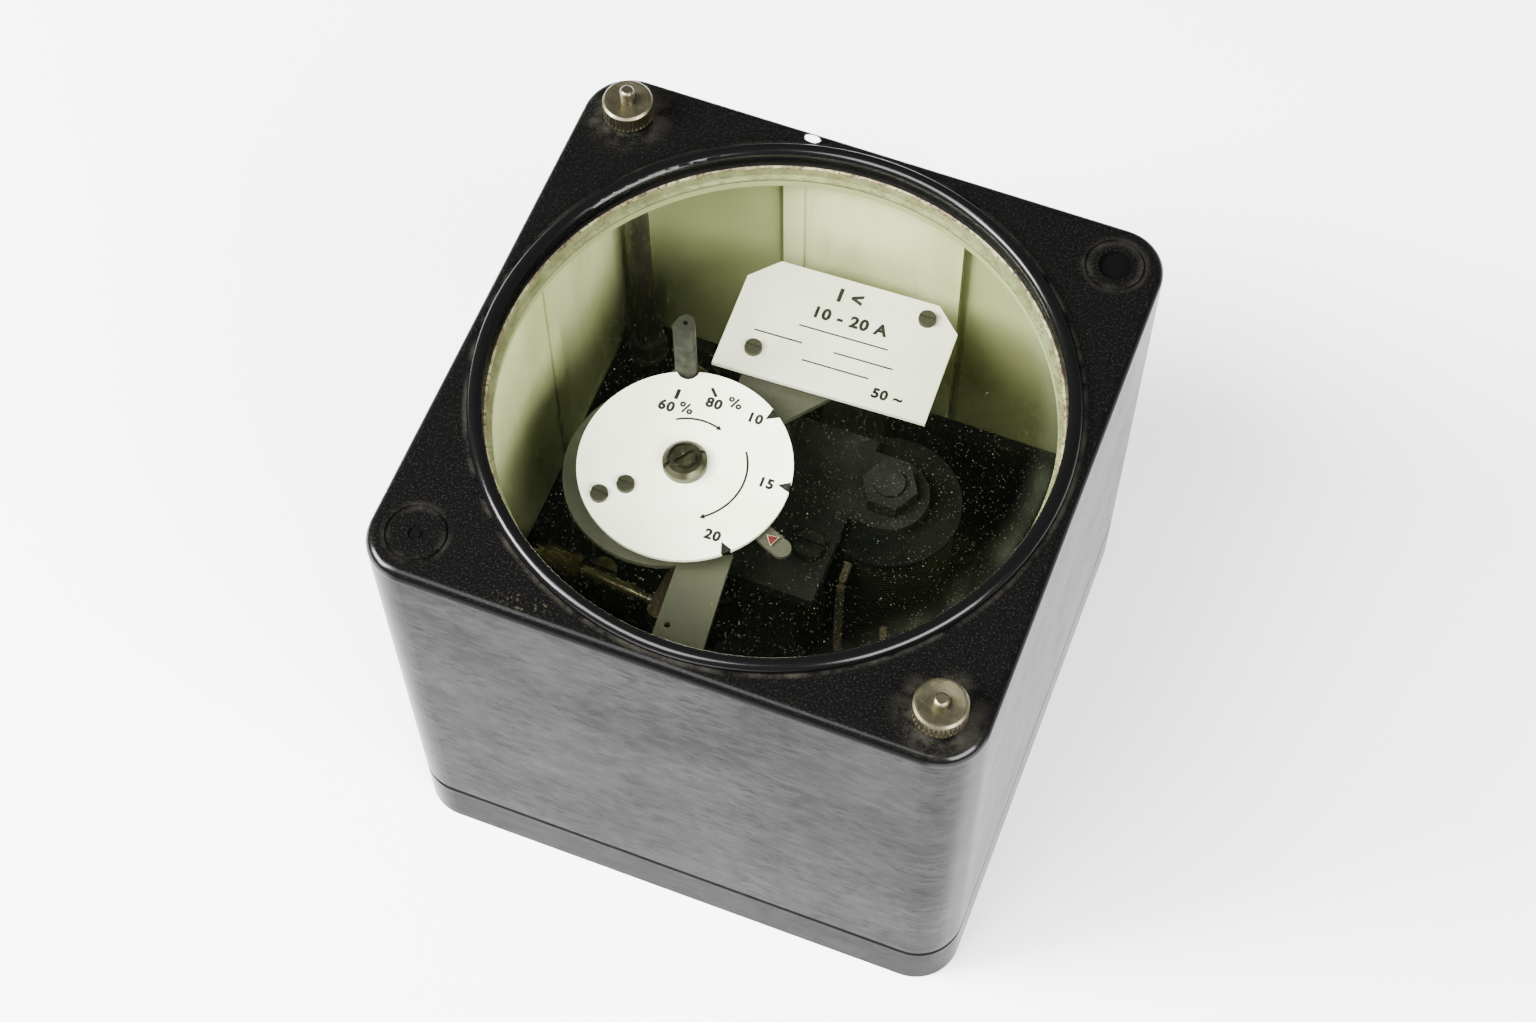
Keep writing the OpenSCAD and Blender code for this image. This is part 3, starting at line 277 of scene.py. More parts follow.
class Finish(Nodes):
    """One material, built from nodes on Object coordinates in millimetres."""

    def __init__(self, name):
        self.material = bpy.data.materials.new(name)
        super().__init__(self.material)
        metres = self.node("ShaderNodeTexCoord", {}, {}, "Object")
        self.place = self.node(
            "ShaderNodeVectorMath", {"operation": "SCALE"}, {"Vector": metres, "Scale": 1 / MM})
        self.x = self.node("ShaderNodeSeparateXYZ", {}, {"Vector": self.place}, "X")
        self.y = self.x.output("Y")
        self.z = self.x.output("Z")

    def cloud(self, size, detail=3, stretch=(1, 1, 1), shift=0, roughness=0.55):
        """Noise about 0.5 whose blotches are about size millimetres across."""
        scale = [1 / (size * part) for part in stretch]
        place = self.node("ShaderNodeMapping", {}, {
            "Vector": self.place, "Location": [shift] * 3, "Scale": scale})
        return self.node("ShaderNodeTexNoise", {}, {
            "Vector": place, "Scale": 1, "Detail": detail, "Roughness": roughness})

    def cells(self, size, shift=0):
        """Distance to the nearest of scattered points, as a share of their spacing."""
        place = self.node("ShaderNodeMapping", {}, {
            "Vector": self.place, "Location": [shift] * 3, "Scale": [1 / size] * 3})
        return self.node("ShaderNodeTexVoronoi", {}, {"Vector": place, "Scale": 1})

    def bump(self, height, depth):
        """A surface raised by height times depth, in millimetres."""
        return self.node("ShaderNodeBump", {}, {
            "Height": height, "Distance": depth * MM, "Strength": 1}, "Normal")

    def reach(self, x, y):
        """Distance in plan from a point."""
        across = self.x - x
        along = self.y - y
        return (across * across + along * along) ** 0.5

    def oval(self, place, size):
        """0 at a place in plan and 1 on an oval about it with these half sizes."""
        return ((self.x - place[0]) / size[0]) ** 2 + ((self.y - place[1]) / size[1]) ** 2

    def principled(self, sockets):
        return self.node("ShaderNodeBsdfPrincipled", {}, sockets, "BSDF")

    def done(self, shader):
        self.node("ShaderNodeOutputMaterial", {}, {"Surface": shader})
        return self.material


def case_outside(f):
    """Distance outside the square of the corner centres: the corner radius on the case's side."""
    over_x = (abs(f.x) - CORNER_CENTRE).most(0)
    over_y = (abs(f.y) - CORNER_CENTRE).most(0)
    return (over_x * over_x + over_y * over_y) ** 0.5


def worn_moulding(f, side, dust):
    """Colour, roughness, height and gloss of black phenolic, rubbed dull as far as side goes."""
    bloom = f.ramp(f.cloud(26, 8, stretch=(1.5, 1.5, 0.9), shift=3, roughness=0.62), 0.36, 0.64)
    wipe = f.ramp(f.cloud(5, 7, stretch=(2.2, 2.2, 0.8), shift=11, roughness=0.66), 0.34, 0.68)
    dash = f.ramp(f.cloud(1.6, 4, stretch=(3, 3, 0.8), shift=21, roughness=0.6), 0.53, 0.6)
    dash = dash * f.ramp(f.cloud(14, 4, shift=17), 0.4, 0.6)
    fleck = f.ramp(f.cells(8, 23) + f.cloud(1.2, 3, shift=27) * 0.12, 0.12, 0.09)
    fleck = fleck * f.ramp(f.cloud(30, 2, shift=37), 0.4, 0.55)
    scratch = f.ramp(abs(f.cloud(30, 2, shift=14) - 0.5), 0.006, 0.001)
    scratch = scratch * f.ramp(f.cloud(24, 2, shift=8), 0.54, 0.64) * side
    polish = f.ramp(abs(f.x), HALF_WIDTH - 4, HALF_WIDTH - 0.5) * side
    mottle = f.ramp(f.cloud(2.4, 5, stretch=(1.7, 1.7, 0.9), shift=41), 0.36, 0.64)
    grain = f.cloud(0.5, 2)
    handled = 0.08 + bloom * 0.42 + wipe * 0.35 + mottle * 0.28
    handled = handled * (1 - (dash * 0.7).most(fleck * 0.9)) * side
    tone = f.ramp(f.cloud(40, 3, shift=31), 0.4, 0.6)
    tint = f.mix(tone, shade(28, 28, 29), shade(28, 27, 26))
    colour = f.mix(side * 0.3 + handled * 0.5, shade(5, 5, 5), tint)
    colour = f.mix(scratch * 0.07, colour, shade(70, 70, 70))
    colour = f.mix(dust, colour, shade(50, 48, 42))
    roughness = 0.12 + handled * 0.14 + dust * 0.4 + grain * 0.04
    height = grain * 0.25 + wipe * side * 0.3
    return colour, roughness, height, handled * 0.1 + polish * 0.13


def inner_paint(f, painted, colour, roughness):
    """Lays the cover's pale green inside paint where painted is 1, with painted shade low down, on
    the ledge and by the panels.
    """
    patches = f.ramp(f.cloud(24, 4, stretch=(1, 1, 2.2), shift=6), 0.36, 0.68)
    runs = f.ramp(f.cloud(3, 3, stretch=(1, 1, 9), shift=9), 0.55, 0.75)
    # Painted shade: the paint grows darker towards the base.
    painted_depth_shade = f.ramp(f.z + f.y * 0.1 + f.cloud(20, 3, shift=13) * 12, 108, 52)
    # Painted shade on the collar's face just below the glass.
    ledge = f.ramp(f.z, LEDGE_LOW - 1, LEDGE_LOW)
    # Painted shade on the back wall to either side of its thickened panel.
    off_panel_shade = f.ramp(abs(f.x), PANEL_EDGE, PANEL_EDGE + 1)
    off_panel_shade = off_panel_shade * f.ramp(f.y, WALL_INSIDE - 5, WALL_INSIDE - 3)
    # Painted shadow: dark strips just outside the edges of the thickened panels.
    panel_shadow_x = f.ramp(abs(abs(f.x) - PANEL_EDGE - PANEL_SHADOW_OFFSET), 1.3, 0.5) * (abs(f.y) > PANEL_FACE)
    panel_shadow_y = f.ramp(abs(abs(f.y) - PANEL_EDGE - PANEL_SHADOW_OFFSET), 1.3, 0.5) * (abs(f.x) > PANEL_FACE)
    shadow_beside_panels = panel_shadow_x + panel_shadow_y
    paint = f.mix(patches, shade(166, 171, 132), shade(148, 153, 112))
    # Lays the painted shade beside the back panel.
    paint = f.mix(off_panel_shade * 0.75, paint, shade(126, 131, 92))
    # Lays the painted shade on the collar's face below the glass.
    paint = f.mix(ledge * 0.8, paint, shade(108, 112, 79))
    paint = f.mix(runs * 0.25, paint, shade(136, 134, 96))
    # Lays the painted shadow beside the panels.
    paint = f.mix(shadow_beside_panels * 0.6, paint, shade(70, 68, 46))
    # Lays the painted shade towards the base, heaviest on the back wall and the right.
    depth_shade_side = f.ramp(f.y, 40, 70).most(f.ramp(f.x, -20, 40) * 0.5)
    paint = f.mix(painted_depth_shade * (0.3 + depth_shade_side * 0.5), paint, shade(66, 67, 43))
    return f.mix(painted, colour, paint), roughness + painted * 0.25


def cover_finish():
    """Rubbed black phenolic outside and pale green paint inside, parted within the wall."""
    f = Finish("cover_moulding")
    outside = case_outside(f)
    painted = (outside < PAINT_REACH) * (f.z < PAINT_TOP)
    side = f.ramp(f.z, CASE_TOP - 1.5, CASE_TOP - 4) * (1 - painted)
    on_top = f.ramp(f.z, CASE_TOP - 1.2, CASE_TOP - 0.3) * (f.z < CASE_TOP + 0.2)
    on_bead = f.ramp(f.z, CASE_TOP + 0.05, CASE_TOP + 0.4)
    on_edge = f.ramp(outside, CORNER_RADIUS - 2.6, CORNER_RADIUS - 1.6) * (1 - side)
    at_corner = f.ramp(abs(f.x).least(abs(f.y)), CORNER_CENTRE, CORNER_CENTRE + 3)
    nuts = f.reach(-FIXING, FIXING).least(f.reach(FIXING, -FIXING))
    rings = f.reach(FIXING, FIXING).least(f.reach(-FIXING, -FIXING))
    round_nuts = f.ramp(nuts, 13, NUT_RADIUS)
    round_rings = f.ramp(abs(rings - RING_RADIUS), 2, 0.4)
    round_bead = f.ramp(abs(f.reach(0, 0) - BEAD_MIDDLE - BEAD_HALF), 1.2, 0.1)
    film = f.ramp(f.cloud(6, 5, shift=2), 0.36, 0.66)
    tooth = f.ramp(f.cloud(0.5, 3, shift=7), 0.52, 0.68)
    gathered = round_nuts * 0.4 + round_rings * 0.16 + round_bead * 0.36
    dust = on_top * (film * gathered + tooth * 0.17)
    colour, roughness, height, gloss = worn_moulding(f, side, dust.least(1))
    roughness = roughness + on_top * (0.2 + tooth * 0.1)
    rim = f.ramp(f.cloud(1.1, 3, shift=12), 0.64, 0.7)
    rim = rim * f.ramp(abs(f.z - CASE_TOP + RIM_WEAR_DROP), 0.6, 0.1) * side
    chip_edge = f.cloud(1.6, 2) * 1.6
    chip = f.ramp(f.oval(CHIP_PLACE, CHIP_SIZE) + chip_edge, 2.2, 1.6) * (f.y > CHIP_FRONT)
    scuff = f.ramp(f.cloud(1, 3, shift=4), 0.56, 0.66) * on_top
    scuff = scuff * f.ramp(f.oval(SCUFF_PLACE, SCUFF_SIZE), 1, 0.3)
    colour = f.mix(chip, colour, shade(236, 234, 228))
    colour = f.mix(scuff * 0.2, colour, shade(86, 83, 64))
    colour = f.mix(rim * 0.5, colour, shade(96, 90, 78))
    colour, roughness = inner_paint(f, painted, colour, roughness)
    return f.done(f.principled({
        "Base Color": colour, "Roughness": roughness, "IOR": MOULDING_IOR,
        "Normal": f.bump(height, MOULDING_BUMP),
        "Coat Weight": gloss + on_bead * 0.3 + on_edge * (0.06 + at_corner * 0.24),
        "Coat Roughness": COAT_ROUGHNESS}))


def base_finish():
    """Rubbed black phenolic, dusty on the floor inside the case."""
    f = Finish("base_moulding")
    inside = (case_outside(f) < PAINT_REACH) * (f.z > BASE_FLOOR)
    dust = inside * f.ramp(f.cloud(12, 5), 0.3, 0.7) * 0.25
    colour, roughness, height, gloss = worn_moulding(f, (1 - inside) * 0.55, dust)
    return f.done(f.principled({
        "Base Color": colour, "Roughness": roughness, "IOR": MOULDING_IOR,
        "Normal": f.bump(height, MOULDING_BUMP),
        "Coat Weight": gloss, "Coat Roughness": COAT_ROUGHNESS}))


def block_finish():
    """Dull black insulating block with a dusty bloom."""
    f = Finish("black_insulation")
    bloom = f.ramp(f.cloud(5, 5), 0.35, 0.7)
    grain = f.cloud(0.4, 2)
    colour = f.mix(bloom, shade(3, 4, 3), shade(7, 8, 6))
    return f.done(f.principled({
        "Base Color": colour, "Roughness": 0.55 + bloom * 0.25, "IOR": 1.15,
        "Normal": f.bump(grain, 0.04)}))


def gasket_finish():
    """Dark felted seal."""
    f = Finish("seal_felt")
    fibre = f.cloud(0.35, 4, stretch=(3, 3, 1))
    colour = f.mix(fibre, shade(3, 3, 3), shade(8, 8, 7))
    return f.done(f.principled({
        "Base Color": colour, "Roughness": 0.75 + fibre * 0.2, "IOR": MOULDING_IOR,
        "Normal": f.bump(fibre, 0.12)}))


def metal_finish(name, bright, dull, stain, gloss, plated=1):
    """Turned metal with tarnish; plated is how far it still shines like bare metal."""
    f = Finish(name)
    tarnish = f.ramp(f.cloud(3.2, 5), 0.38, 0.66)
    spots = f.ramp(f.cloud(0.8, 4, shift=6), 0.62, 0.78)
    turning = f.cloud(0.16, 2, stretch=(6, 6, 1))
    colour = f.mix(tarnish, bright, dull)
    colour = f.mix(spots * 0.5, colour, stain)
    return f.done(f.principled({
        "Base Color": colour, "Metallic": plated - spots * 0.3, "IOR": 1.3,
        "Normal": f.bump(turning, 0.01),
        "Roughness": gloss + tarnish * 0.14 + spots * 0.15 + turning * 0.06}))


def stud_finish():
    """Old plated rod: dull and dark inside the case, threaded and brighter above the cover."""
    f = Finish("plated_rod")
    above = f.ramp(f.z, CASE_TOP - 4, CASE_TOP)
    tarnish = f.ramp(f.cloud(5, 4, stretch=(1, 1, 3)), 0.36, 0.68)
    thread = (f.z * (2 * math.pi / STUD_PITCH)).sine() * above
    inside = f.mix(tarnish, shade(62, 58, 46), shade(46, 43, 34))
    outside = f.mix(tarnish, NICKEL[0], NICKEL[1])
    return f.done(f.principled({
        "Base Color": f.mix(above, inside, outside), "Metallic": 0.7 + above * 0.3,
        "Roughness": 0.5 - above * 0.18 + tarnish * 0.1, "Normal": f.bump(thread, 0.06)}))


def paint_finish(name, light, dark):
    """Stoved paint on sheet metal, slightly soiled, with painted shade behind and below the label.
    """
    f = Finish(name)
    soil = f.ramp(f.cloud(13, 5), 0.36, 0.7)
    # Painted shade on the leg behind and below the label, and on the plate under the label.
    shade_behind_label = f.ramp(f.y, 38, 44) * f.ramp(f.z, 96, 84)
    label_shade = shade_behind_label.most(f.ramp(f.y, 12, 26) * 0.8)
    fleck = f.ramp(f.cloud(0.7, 3, shift=5), 0.62, 0.74)
    skin = f.cloud(0.6, 2)
    colour = f.mix(soil, light, dark)
    colour = f.mix(fleck * 0.4, colour, shade(50, 47, 37))
    # Lays the painted shade of the label.
    colour = f.mix(label_shade * 0.85, colour, shade(26, 25, 20))
    return f.done(f.principled({
        "Base Color": colour, "Roughness": 0.4 + soil * 0.2, "Normal": f.bump(skin, 0.03)}))


def enamel_finish(name, light, aged):
    """White stoved enamel, a little yellowed and specked."""
    f = Finish(name)
    age = f.ramp(f.cloud(16, 4), 0.36, 0.7)
    speck = f.ramp(f.cells(2.6), 0.07, 0.03) * f.ramp(f.cloud(6, 2), 0.5, 0.6)
    skin = f.cloud(0.8, 2)
    colour = f.mix(age, light, aged)
    colour = f.mix(speck * 0.4, colour, shade(140, 130, 100))
    return f.done(f.principled({
        "Base Color": colour, "Roughness": 0.34 + age * 0.12, "Normal": f.bump(skin, 0.015)}))


def iron_finish():
    """Blacked soft iron with dust and rubbed grain."""
    f = Finish("blacked_iron")
    wear = f.ramp(f.cloud(8, 5), 0.4, 0.7)
    dust = f.ramp(f.cells(1.8, 3), 0.1, 0.04) * f.ramp(f.cloud(9, 2, shift=4), 0.46, 0.6)
    grain = f.cloud(0.3, 3, stretch=(8, 1, 1))
    colour = f.mix(wear, shade(11, 13, 11), shade(19, 22, 18))
    colour = f.mix(dust * 0.4, colour, shade(80, 80, 68))
    return f.done(f.principled({
        "Base Color": colour, "Metallic": 0.3 - dust * 0.3,
        "Roughness": 0.55 + wear * 0.2 + grain * 0.06,
        "IOR": 1.3, "Normal": f.bump(grain, 0.02)}))


def laminate_finish():
    """Brown laminated insulating board, its layers showing as fine lines."""
    f = Finish("laminated_board")
    weave = (f.x * 9).sine() * (f.y * 9).sine() * 0.5 + 0.5
    tone = f.ramp(f.cloud(6, 4), 0.36, 0.68)
    layer = (f.z * 24 + f.cloud(3, 2) * 4).sine() * 0.5 + 0.5
    colour = f.mix(tone, shade(58, 40, 26), shade(42, 29, 19))
    colour = f.mix(layer * 0.25 + weave * 0.15, colour, shade(26, 18, 12))
    return f.done(f.principled({
        "Base Color": colour, "Roughness": 0.42 + tone * 0.15,
        "Normal": f.bump(weave + layer, 0.02)}))


def winding_finish():
    """Cotton-covered wire in close turns under brown varnish."""
    f = Finish("varnished_winding")
    turn = (f.z * (2 * math.pi / WIRE_PITCH) + f.cloud(5, 2) * 1.5).sine() * 0.5 + 0.5
    fibre = f.cloud(0.3, 3, stretch=(1, 1, 4))
    tone = f.ramp(f.cloud(7, 4), 0.35, 0.7)
    colour = f.mix(tone, shade(17, 13, 8), shade(11, 8, 5))
    colour = f.mix((1 - turn) * 0.6, colour, shade(6, 4, 3))
    return f.done(f.principled({
        "Base Color": colour, "Roughness": 0.5 + fibre * 0.2, "IOR": 1.25,
        "Normal": f.bump(turn + fibre * 0.3, 0.2)}))


def braid_finish():
    """Yellow-brown cotton braid wound in two crossing bands."""
    f = Finish("cotton_braid")
    band_a = ((f.x + f.y) * 2.2 + f.z * 3.4).sine() * 0.5 + 0.5
    band_b = ((f.x - f.y) * 2.2 - f.z * 3.4).sine() * 0.5 + 0.5
    fibre = f.cloud(0.25, 3)
    strand = band_a.most(band_b)
    colour = f.mix(strand, shade(20, 16, 8), shade(54, 45, 24))
    colour = f.mix(f.ramp(f.cloud(4, 3), 0.45, 0.7) * 0.5, colour, shade(26, 21, 11))
    return f.done(f.principled({
        "Base Color": colour, "Roughness": 0.7 + fibre * 0.2,
        "Normal": f.bump(strand + fibre * 0.4, 0.15)}))


def window_finish():
    """Clear old glass with dust: light passes, the sky reflects, specks stay matt."""
    f = Finish("window_pane")
    fine = f.ramp(f.cells(1), 0.19, 0.08) * f.ramp(f.cloud(6, 3), 0.25, 0.65)
    coarse = f.ramp(f.cells(3.4, 3), 0.06, 0.03) * f.ramp(f.cloud(5, 2, shift=9), 0.4, 0.6)
    from_middle = f.reach(0, 0)
    rim = f.ramp(from_middle, HAZE_INSIDE, HAZE_MIDDLE)
    rim = rim * f.ramp(from_middle, GLASS_RADIUS, HAZE_MIDDLE)
    rim = rim * f.ramp(f.cloud(26, 2, shift=5), 0.2, 0.7)
    film = f.ramp(f.cloud(48, 2, shift=4), 0.4, 0.7) * 0.006
    right = f.ramp(f.x, 30, 62) * 0.052
    left = f.ramp(f.x, -20, -50) * 0.03
    film = film + rim * (right + left) + 0.001
    dust = (fine * 0.1 + coarse * 0.25 + film).least(1)
    colour = f.mix(f.ramp(dust, 0, 0.06), shade(20, 24, 19), shade(134, 142, 116))
    gloss = f.principled({"Base Color": colour, "Roughness": 0.04 + dust * 0.5, "IOR": 1.5})
    clear = f.node("ShaderNodeBsdfTransparent", {}, {"Color": GLASS_TINT}, "BSDF")
    aslant = f.node("ShaderNodeLayerWeight", {}, {"Blend": 0.5}, "Facing")
    shine = GLASS_SHINE + (1 - GLASS_SHINE) * aslant ** 5
    return f.done(f.node("ShaderNodeMixShader", {}, {0: shine.most(dust), 1: clear, 2: gloss}))


def cement_finish():
    """Old glazing cement: pale beside the glass, brown where it crumbles over the glass's edge."""
    f = Finish("glazing_cement")
    over_edge = f.ramp(f.z, GLASS_TOP - 0.5, GLASS_TOP - 0.05)
    stain = f.ramp(f.cloud(5, 5), 0.4, 0.62)
    crumb = f.ramp(f.cloud(0.9, 4, shift=3), 0.5, 0.66)
    bed = f.mix(stain, shade(106, 110, 78), shade(92, 93, 62))
    lip = f.mix(stain, shade(118, 113, 78), shade(74, 62, 34))
    lip = f.mix(crumb * 0.8, lip, shade(34, 29, 16))
    return f.done(f.principled({
        "Base Color": f.mix(over_edge, bed, lip), "Roughness": 0.7 + crumb * 0.2,
        "Normal": f.bump(stain + crumb, 0.2)}))


def ink_finish(name, full, thin):
    """Printed ink, thinner in places."""
    f = Finish(name)
    wear = f.ramp(f.cloud(0.9, 4), 0.45, 0.75)
    return f.done(f.principled({
        "Base Color": f.mix(wear, full, thin), "Roughness": 0.4 + wear * 0.2}))


def floor_finish():
    """White studio paper with the faintest tooth."""
    f = Finish("studio_paper")
    tooth = f.cloud(1.2, 3)
    tone = f.cloud(220, 2)
    colour = f.mix(tone, shade(240, 240, 242), shade(244, 244, 245))
    return f.done(f.principled({
        "Base Color": colour, "Roughness": 0.8 + tooth * 0.1, "Normal": f.bump(tooth, 0.02)}))


# Metals, each as bright, dull and stained colours
BRASS = (shade(84, 73, 46), shade(62, 53, 33), shade(38, 31, 19))
NICKEL = (shade(108, 104, 84), shade(86, 81, 62), shade(50, 43, 30))
CLEAN_NICKEL = (shade(78, 77, 64), shade(68, 67, 55), shade(54, 52, 42))
DARK_NICKEL = (shade(56, 56, 46), shade(48, 48, 40), shade(36, 35, 28))
SILVER = (shade(96, 94, 86), shade(80, 78, 70), shade(54, 51, 45))
BRONZE = (shade(170, 138, 84), shade(120, 94, 54), shade(70, 54, 32))
SPINDLE_STEEL = (shade(28, 29, 23), shade(23, 24, 19), shade(17, 17, 14))
finishes = {
    "moulded_black": base_finish(),
    "gasket": gasket_finish(),
    "brass": metal_finish("dulled_brass", *BRASS, 0.36),
    "nickel": metal_finish("aged_nickel", *NICKEL, 0.3),
    "grey_paint": paint_finish("grey_stoved_paint", shade(62, 63, 51), shade(51, 52, 42)),
    "white_enamel": enamel_finish(
        "white_stoved_enamel", shade(240, 242, 234), shade(231, 232, 220)),
    "black_iron": iron_finish(),
    "paxolin": laminate_finish(),
    "winding": winding_finish(),
    "lead_braid": braid_finish(),
    "silver": metal_finish("fine_silver", *SILVER, 0.4),
    "spring_bronze": metal_finish("spring_bronze", *BRONZE, 0.3),
    "glass": window_finish(),
    "cement": cement_finish(),
}
black_insulation = block_finish()
clean_nickel = metal_finish("clean_nickel", *CLEAN_NICKEL, 0.3)
dark_nickel = metal_finish("dark_nickel", *DARK_NICKEL, 0.4, 0.6)
node_finishes = {
    "cover": cover_finish(),
    "contact_block": black_insulation,
    "coil_bobbin": black_insulation,
    "core_nut": finishes["black_iron"],
    "magnet_screws": finishes["black_iron"],
    "dropoff_spindle": metal_finish("spindle_steel", *SPINDLE_STEEL, 0.5, 0.35),
    "label_plate": enamel_finish("label_enamel", shade(184, 186, 176), shade(174, 176, 164)),
    "pivot_bush": clean_nickel,
    "pivot_lock_nut": clean_nickel,
    "pivot_screw": clean_nickel,
    "dial_screws": dark_nickel,
    "label_screws": dark_nickel,
    "stud_nuts": dark_nickel,
    "stud_washers": dark_nickel,
    "cover_studs": stud_finish(),
    "pointer_arm": paint_finish("pale_finger_paint", shade(45, 45, 35), shade(38, 38, 29)),
}
slot_of = {part["node"]: part["material_slot"] for part in frame["record"]["subparts"]}
for name, thing in frame["nodes"].items():
    finish = node_finishes.get(name, finishes[slot_of[name]])
    for holder in thing.material_slots:
        holder.material = finish


def top_of(node):
    """The height of a CAD node's highest point, in millimetres."""
    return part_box(node)[1][2] / MM


def mesh_object(name, shape, finish):
    """Turns a bmesh into an object with one finish."""
    mesh = bpy.data.meshes.new(name)
    shape.to_mesh(mesh)
    shape.free()
    made = bpy.data.objects.new(name, mesh)
    bpy.context.scene.collection.objects.link(made)
    mesh.materials.append(finish)
    return made


def add_piece(name, shape, body, finish):
    """Turns a bmesh in millimetres into a piece that rides on a body."""
    bmesh.ops.scale(shape, vec=(MM, MM, MM), verts=shape.verts)
    piece = mesh_object(name, shape, finish)
    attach(piece, body)
    return piece


def at(x, y, z, turn=0):
    """A place in millimetres, turned about Z by degrees."""
    return Matrix.Translation((x, y, z)) @ Matrix.Rotation(math.radians(turn), 4, "Z")


def new_verts(raised):
    """The vertices that an extrusion has made."""
    return [part for part in raised["geom"] if isinstance(part, bmesh.types.BMVert)]


def close_print(shape):
    """Joins the letters' faces to their sides and turns them outwards."""
    bmesh.ops.remove_doubles(shape, verts=shape.verts, dist=INK_DEPTH / 20)
    bmesh.ops.recalc_face_normals(shape, faces=shape.faces)


def print_words(shape, words, height, place):
    """Adds words as thin solid letters; height is that of a capital."""
    curve = bpy.data.curves.new("words", "FONT")
    curve.body = words
    curve.size = height / CAPITAL_SHARE
    curve.align_x = "CENTER"
    curve.align_y = "CENTER"
    curve.space_character = LETTER_SPACE
    curve.extrude = INK_DEPTH / 2
    curve.offset = height * INK_WEIGHT
    curve.resolution_u = CURVE_STEPS
    carrier = bpy.data.objects.new("words", curve)
    bpy.context.scene.collection.objects.link(carrier)
    drawn = carrier.evaluated_get(bpy.context.evaluated_depsgraph_get())
    mesh = bpy.data.meshes.new_from_object(drawn)
    bpy.data.objects.remove(carrier)
    mesh.transform(place)
    shape.from_mesh(mesh)
    bpy.data.meshes.remove(mesh)


def print_bar(shape, width, length, place):
    """Adds a thin ruled bar, length along its own Y."""
    size = Matrix.Diagonal((width, length, INK_DEPTH, 1))
    bmesh.ops.create_cube(shape, size=1, matrix=place @ size)


def print_arrow(shape, radius, place):
    """Adds a thin triangle that points along its own Y."""
    bmesh.ops.create_cone(
        shape, cap_ends=True, segments=3, radius1=radius, radius2=radius,
        depth=INK_DEPTH, matrix=place)


def print_arc(shape, middle, radius, width, start, end):
    """Adds a thin ruled arc, or a whole ring, about a point."""
    turn = Matrix.Rotation(math.radians(start), 3, "Z")
    below = Vector(middle) - UP * INK_DEPTH / 2
    radii = (radius - width / 2, radius + width / 2)
    ends = [shape.verts.new(below + turn @ Vector((r, 0, 0))) for r in radii]
    edge = shape.edges.new(ends)
    before = set(shape.faces)
    bmesh.ops.spin(
        shape, geom=[*ends, edge], cent=below, axis=UP, angle=math.radians(end - start),
        steps=ARC_STEPS, use_merge=end - start == 360)
    strip = [face for face in shape.faces if face not in before]
    raised = bmesh.ops.extrude_face_region(shape, geom=strip, use_keep_orig=True)
    bmesh.ops.translate(shape, vec=UP * INK_DEPTH, verts=new_verts(raised))


def print_percent(shape, height, place):
    """Adds a percent sign: two small rings with a slanting bar between."""
    stroke = height * PERCENT_STROKE
    for x, y in PERCENT_RINGS:
        middle = place @ Vector((x * height, y * height, 0))
        print_arc(shape, middle, height * PERCENT_RADIUS, stroke, 0, 360)
    print_bar(shape, stroke, height * PERCENT_LENGTH, place @ at(0, 0, 0, PERCENT_SLANT))


def print_mark(shape, angle, z):
    """Adds a black triangle over one of the notches in the dial's edge."""
    turn = Matrix.Rotation(math.radians(angle), 2)
    corners = [DIAL + turn @ Vector(point) for point in MARK_CORNERS]
    face = shape.faces.new([shape.verts.new((*corner, z + INK_DEPTH / 2)) for corner in corners])
    raised = bmesh.ops.extrude_face_region(shape, geom=[face], use_keep_orig=True)
    bmesh.ops.translate(shape, vec=(0, 0, -INK_DEPTH), verts=new_verts(raised))


def dial_print():
    """The dial's numbers, ticks and marks, and arcs that show which way each setting rises."""
    shape = bmesh.new()
    z = top_of("dial_plate") + INK_DEPTH / 2
    for words, height, x, y in DIAL_NUMBERS:
        print_words(shape, words, height, at(x, y, z, DIAL_TURN))
    for x, y in PERCENT_PLACES:
        print_percent(shape, PERCENT_HEIGHT, at(x, y, z, DIAL_TURN))
    for width, start, end in DIAL_TICKS:
        run = Vector(end) - Vector(start)
        middle = (Vector(start) + Vector(end)) / 2
        heading = math.degrees(math.atan2(run.y, run.x))
        print_bar(shape, width, run.length, at(*middle, z, heading - 90))
    for angle in MARK_ANGLES:
        print_mark(shape, angle, z)
    for radius, start, end in DIAL_ARCS:
        print_arc(shape, (*DIAL, z), radius, ARC_WIDTH, start, end)
        heading = math.radians(start)
        tip = DIAL + radius * Vector((math.cos(heading), math.sin(heading)))
        print_arrow(shape, ARC_TIP, at(*tip, z, start - 180))
    close_print(shape)
    add_piece("dial_print", shape, "relay_base", black_ink)


def label_print():
    """A plain rating form on the label: low-current sign, range, frequency and ruled lines."""
    shape = bmesh.new()
    z = top_of("label_plate") + INK_DEPTH / 2
    plate = at(LABEL.x, LABEL.y, 0, LABEL_TURN)
    for words, height, x, y in LABEL_WORDS:
        print_words(shape, words, height, plate @ at(x, y, z))
    for width, x, y in LABEL_LINES:
        print_bar(shape, width, LINE_WEIGHT, plate @ at(x, y, z))
    close_print(shape)
    add_piece("label_print", shape, "relay_base", black_ink)


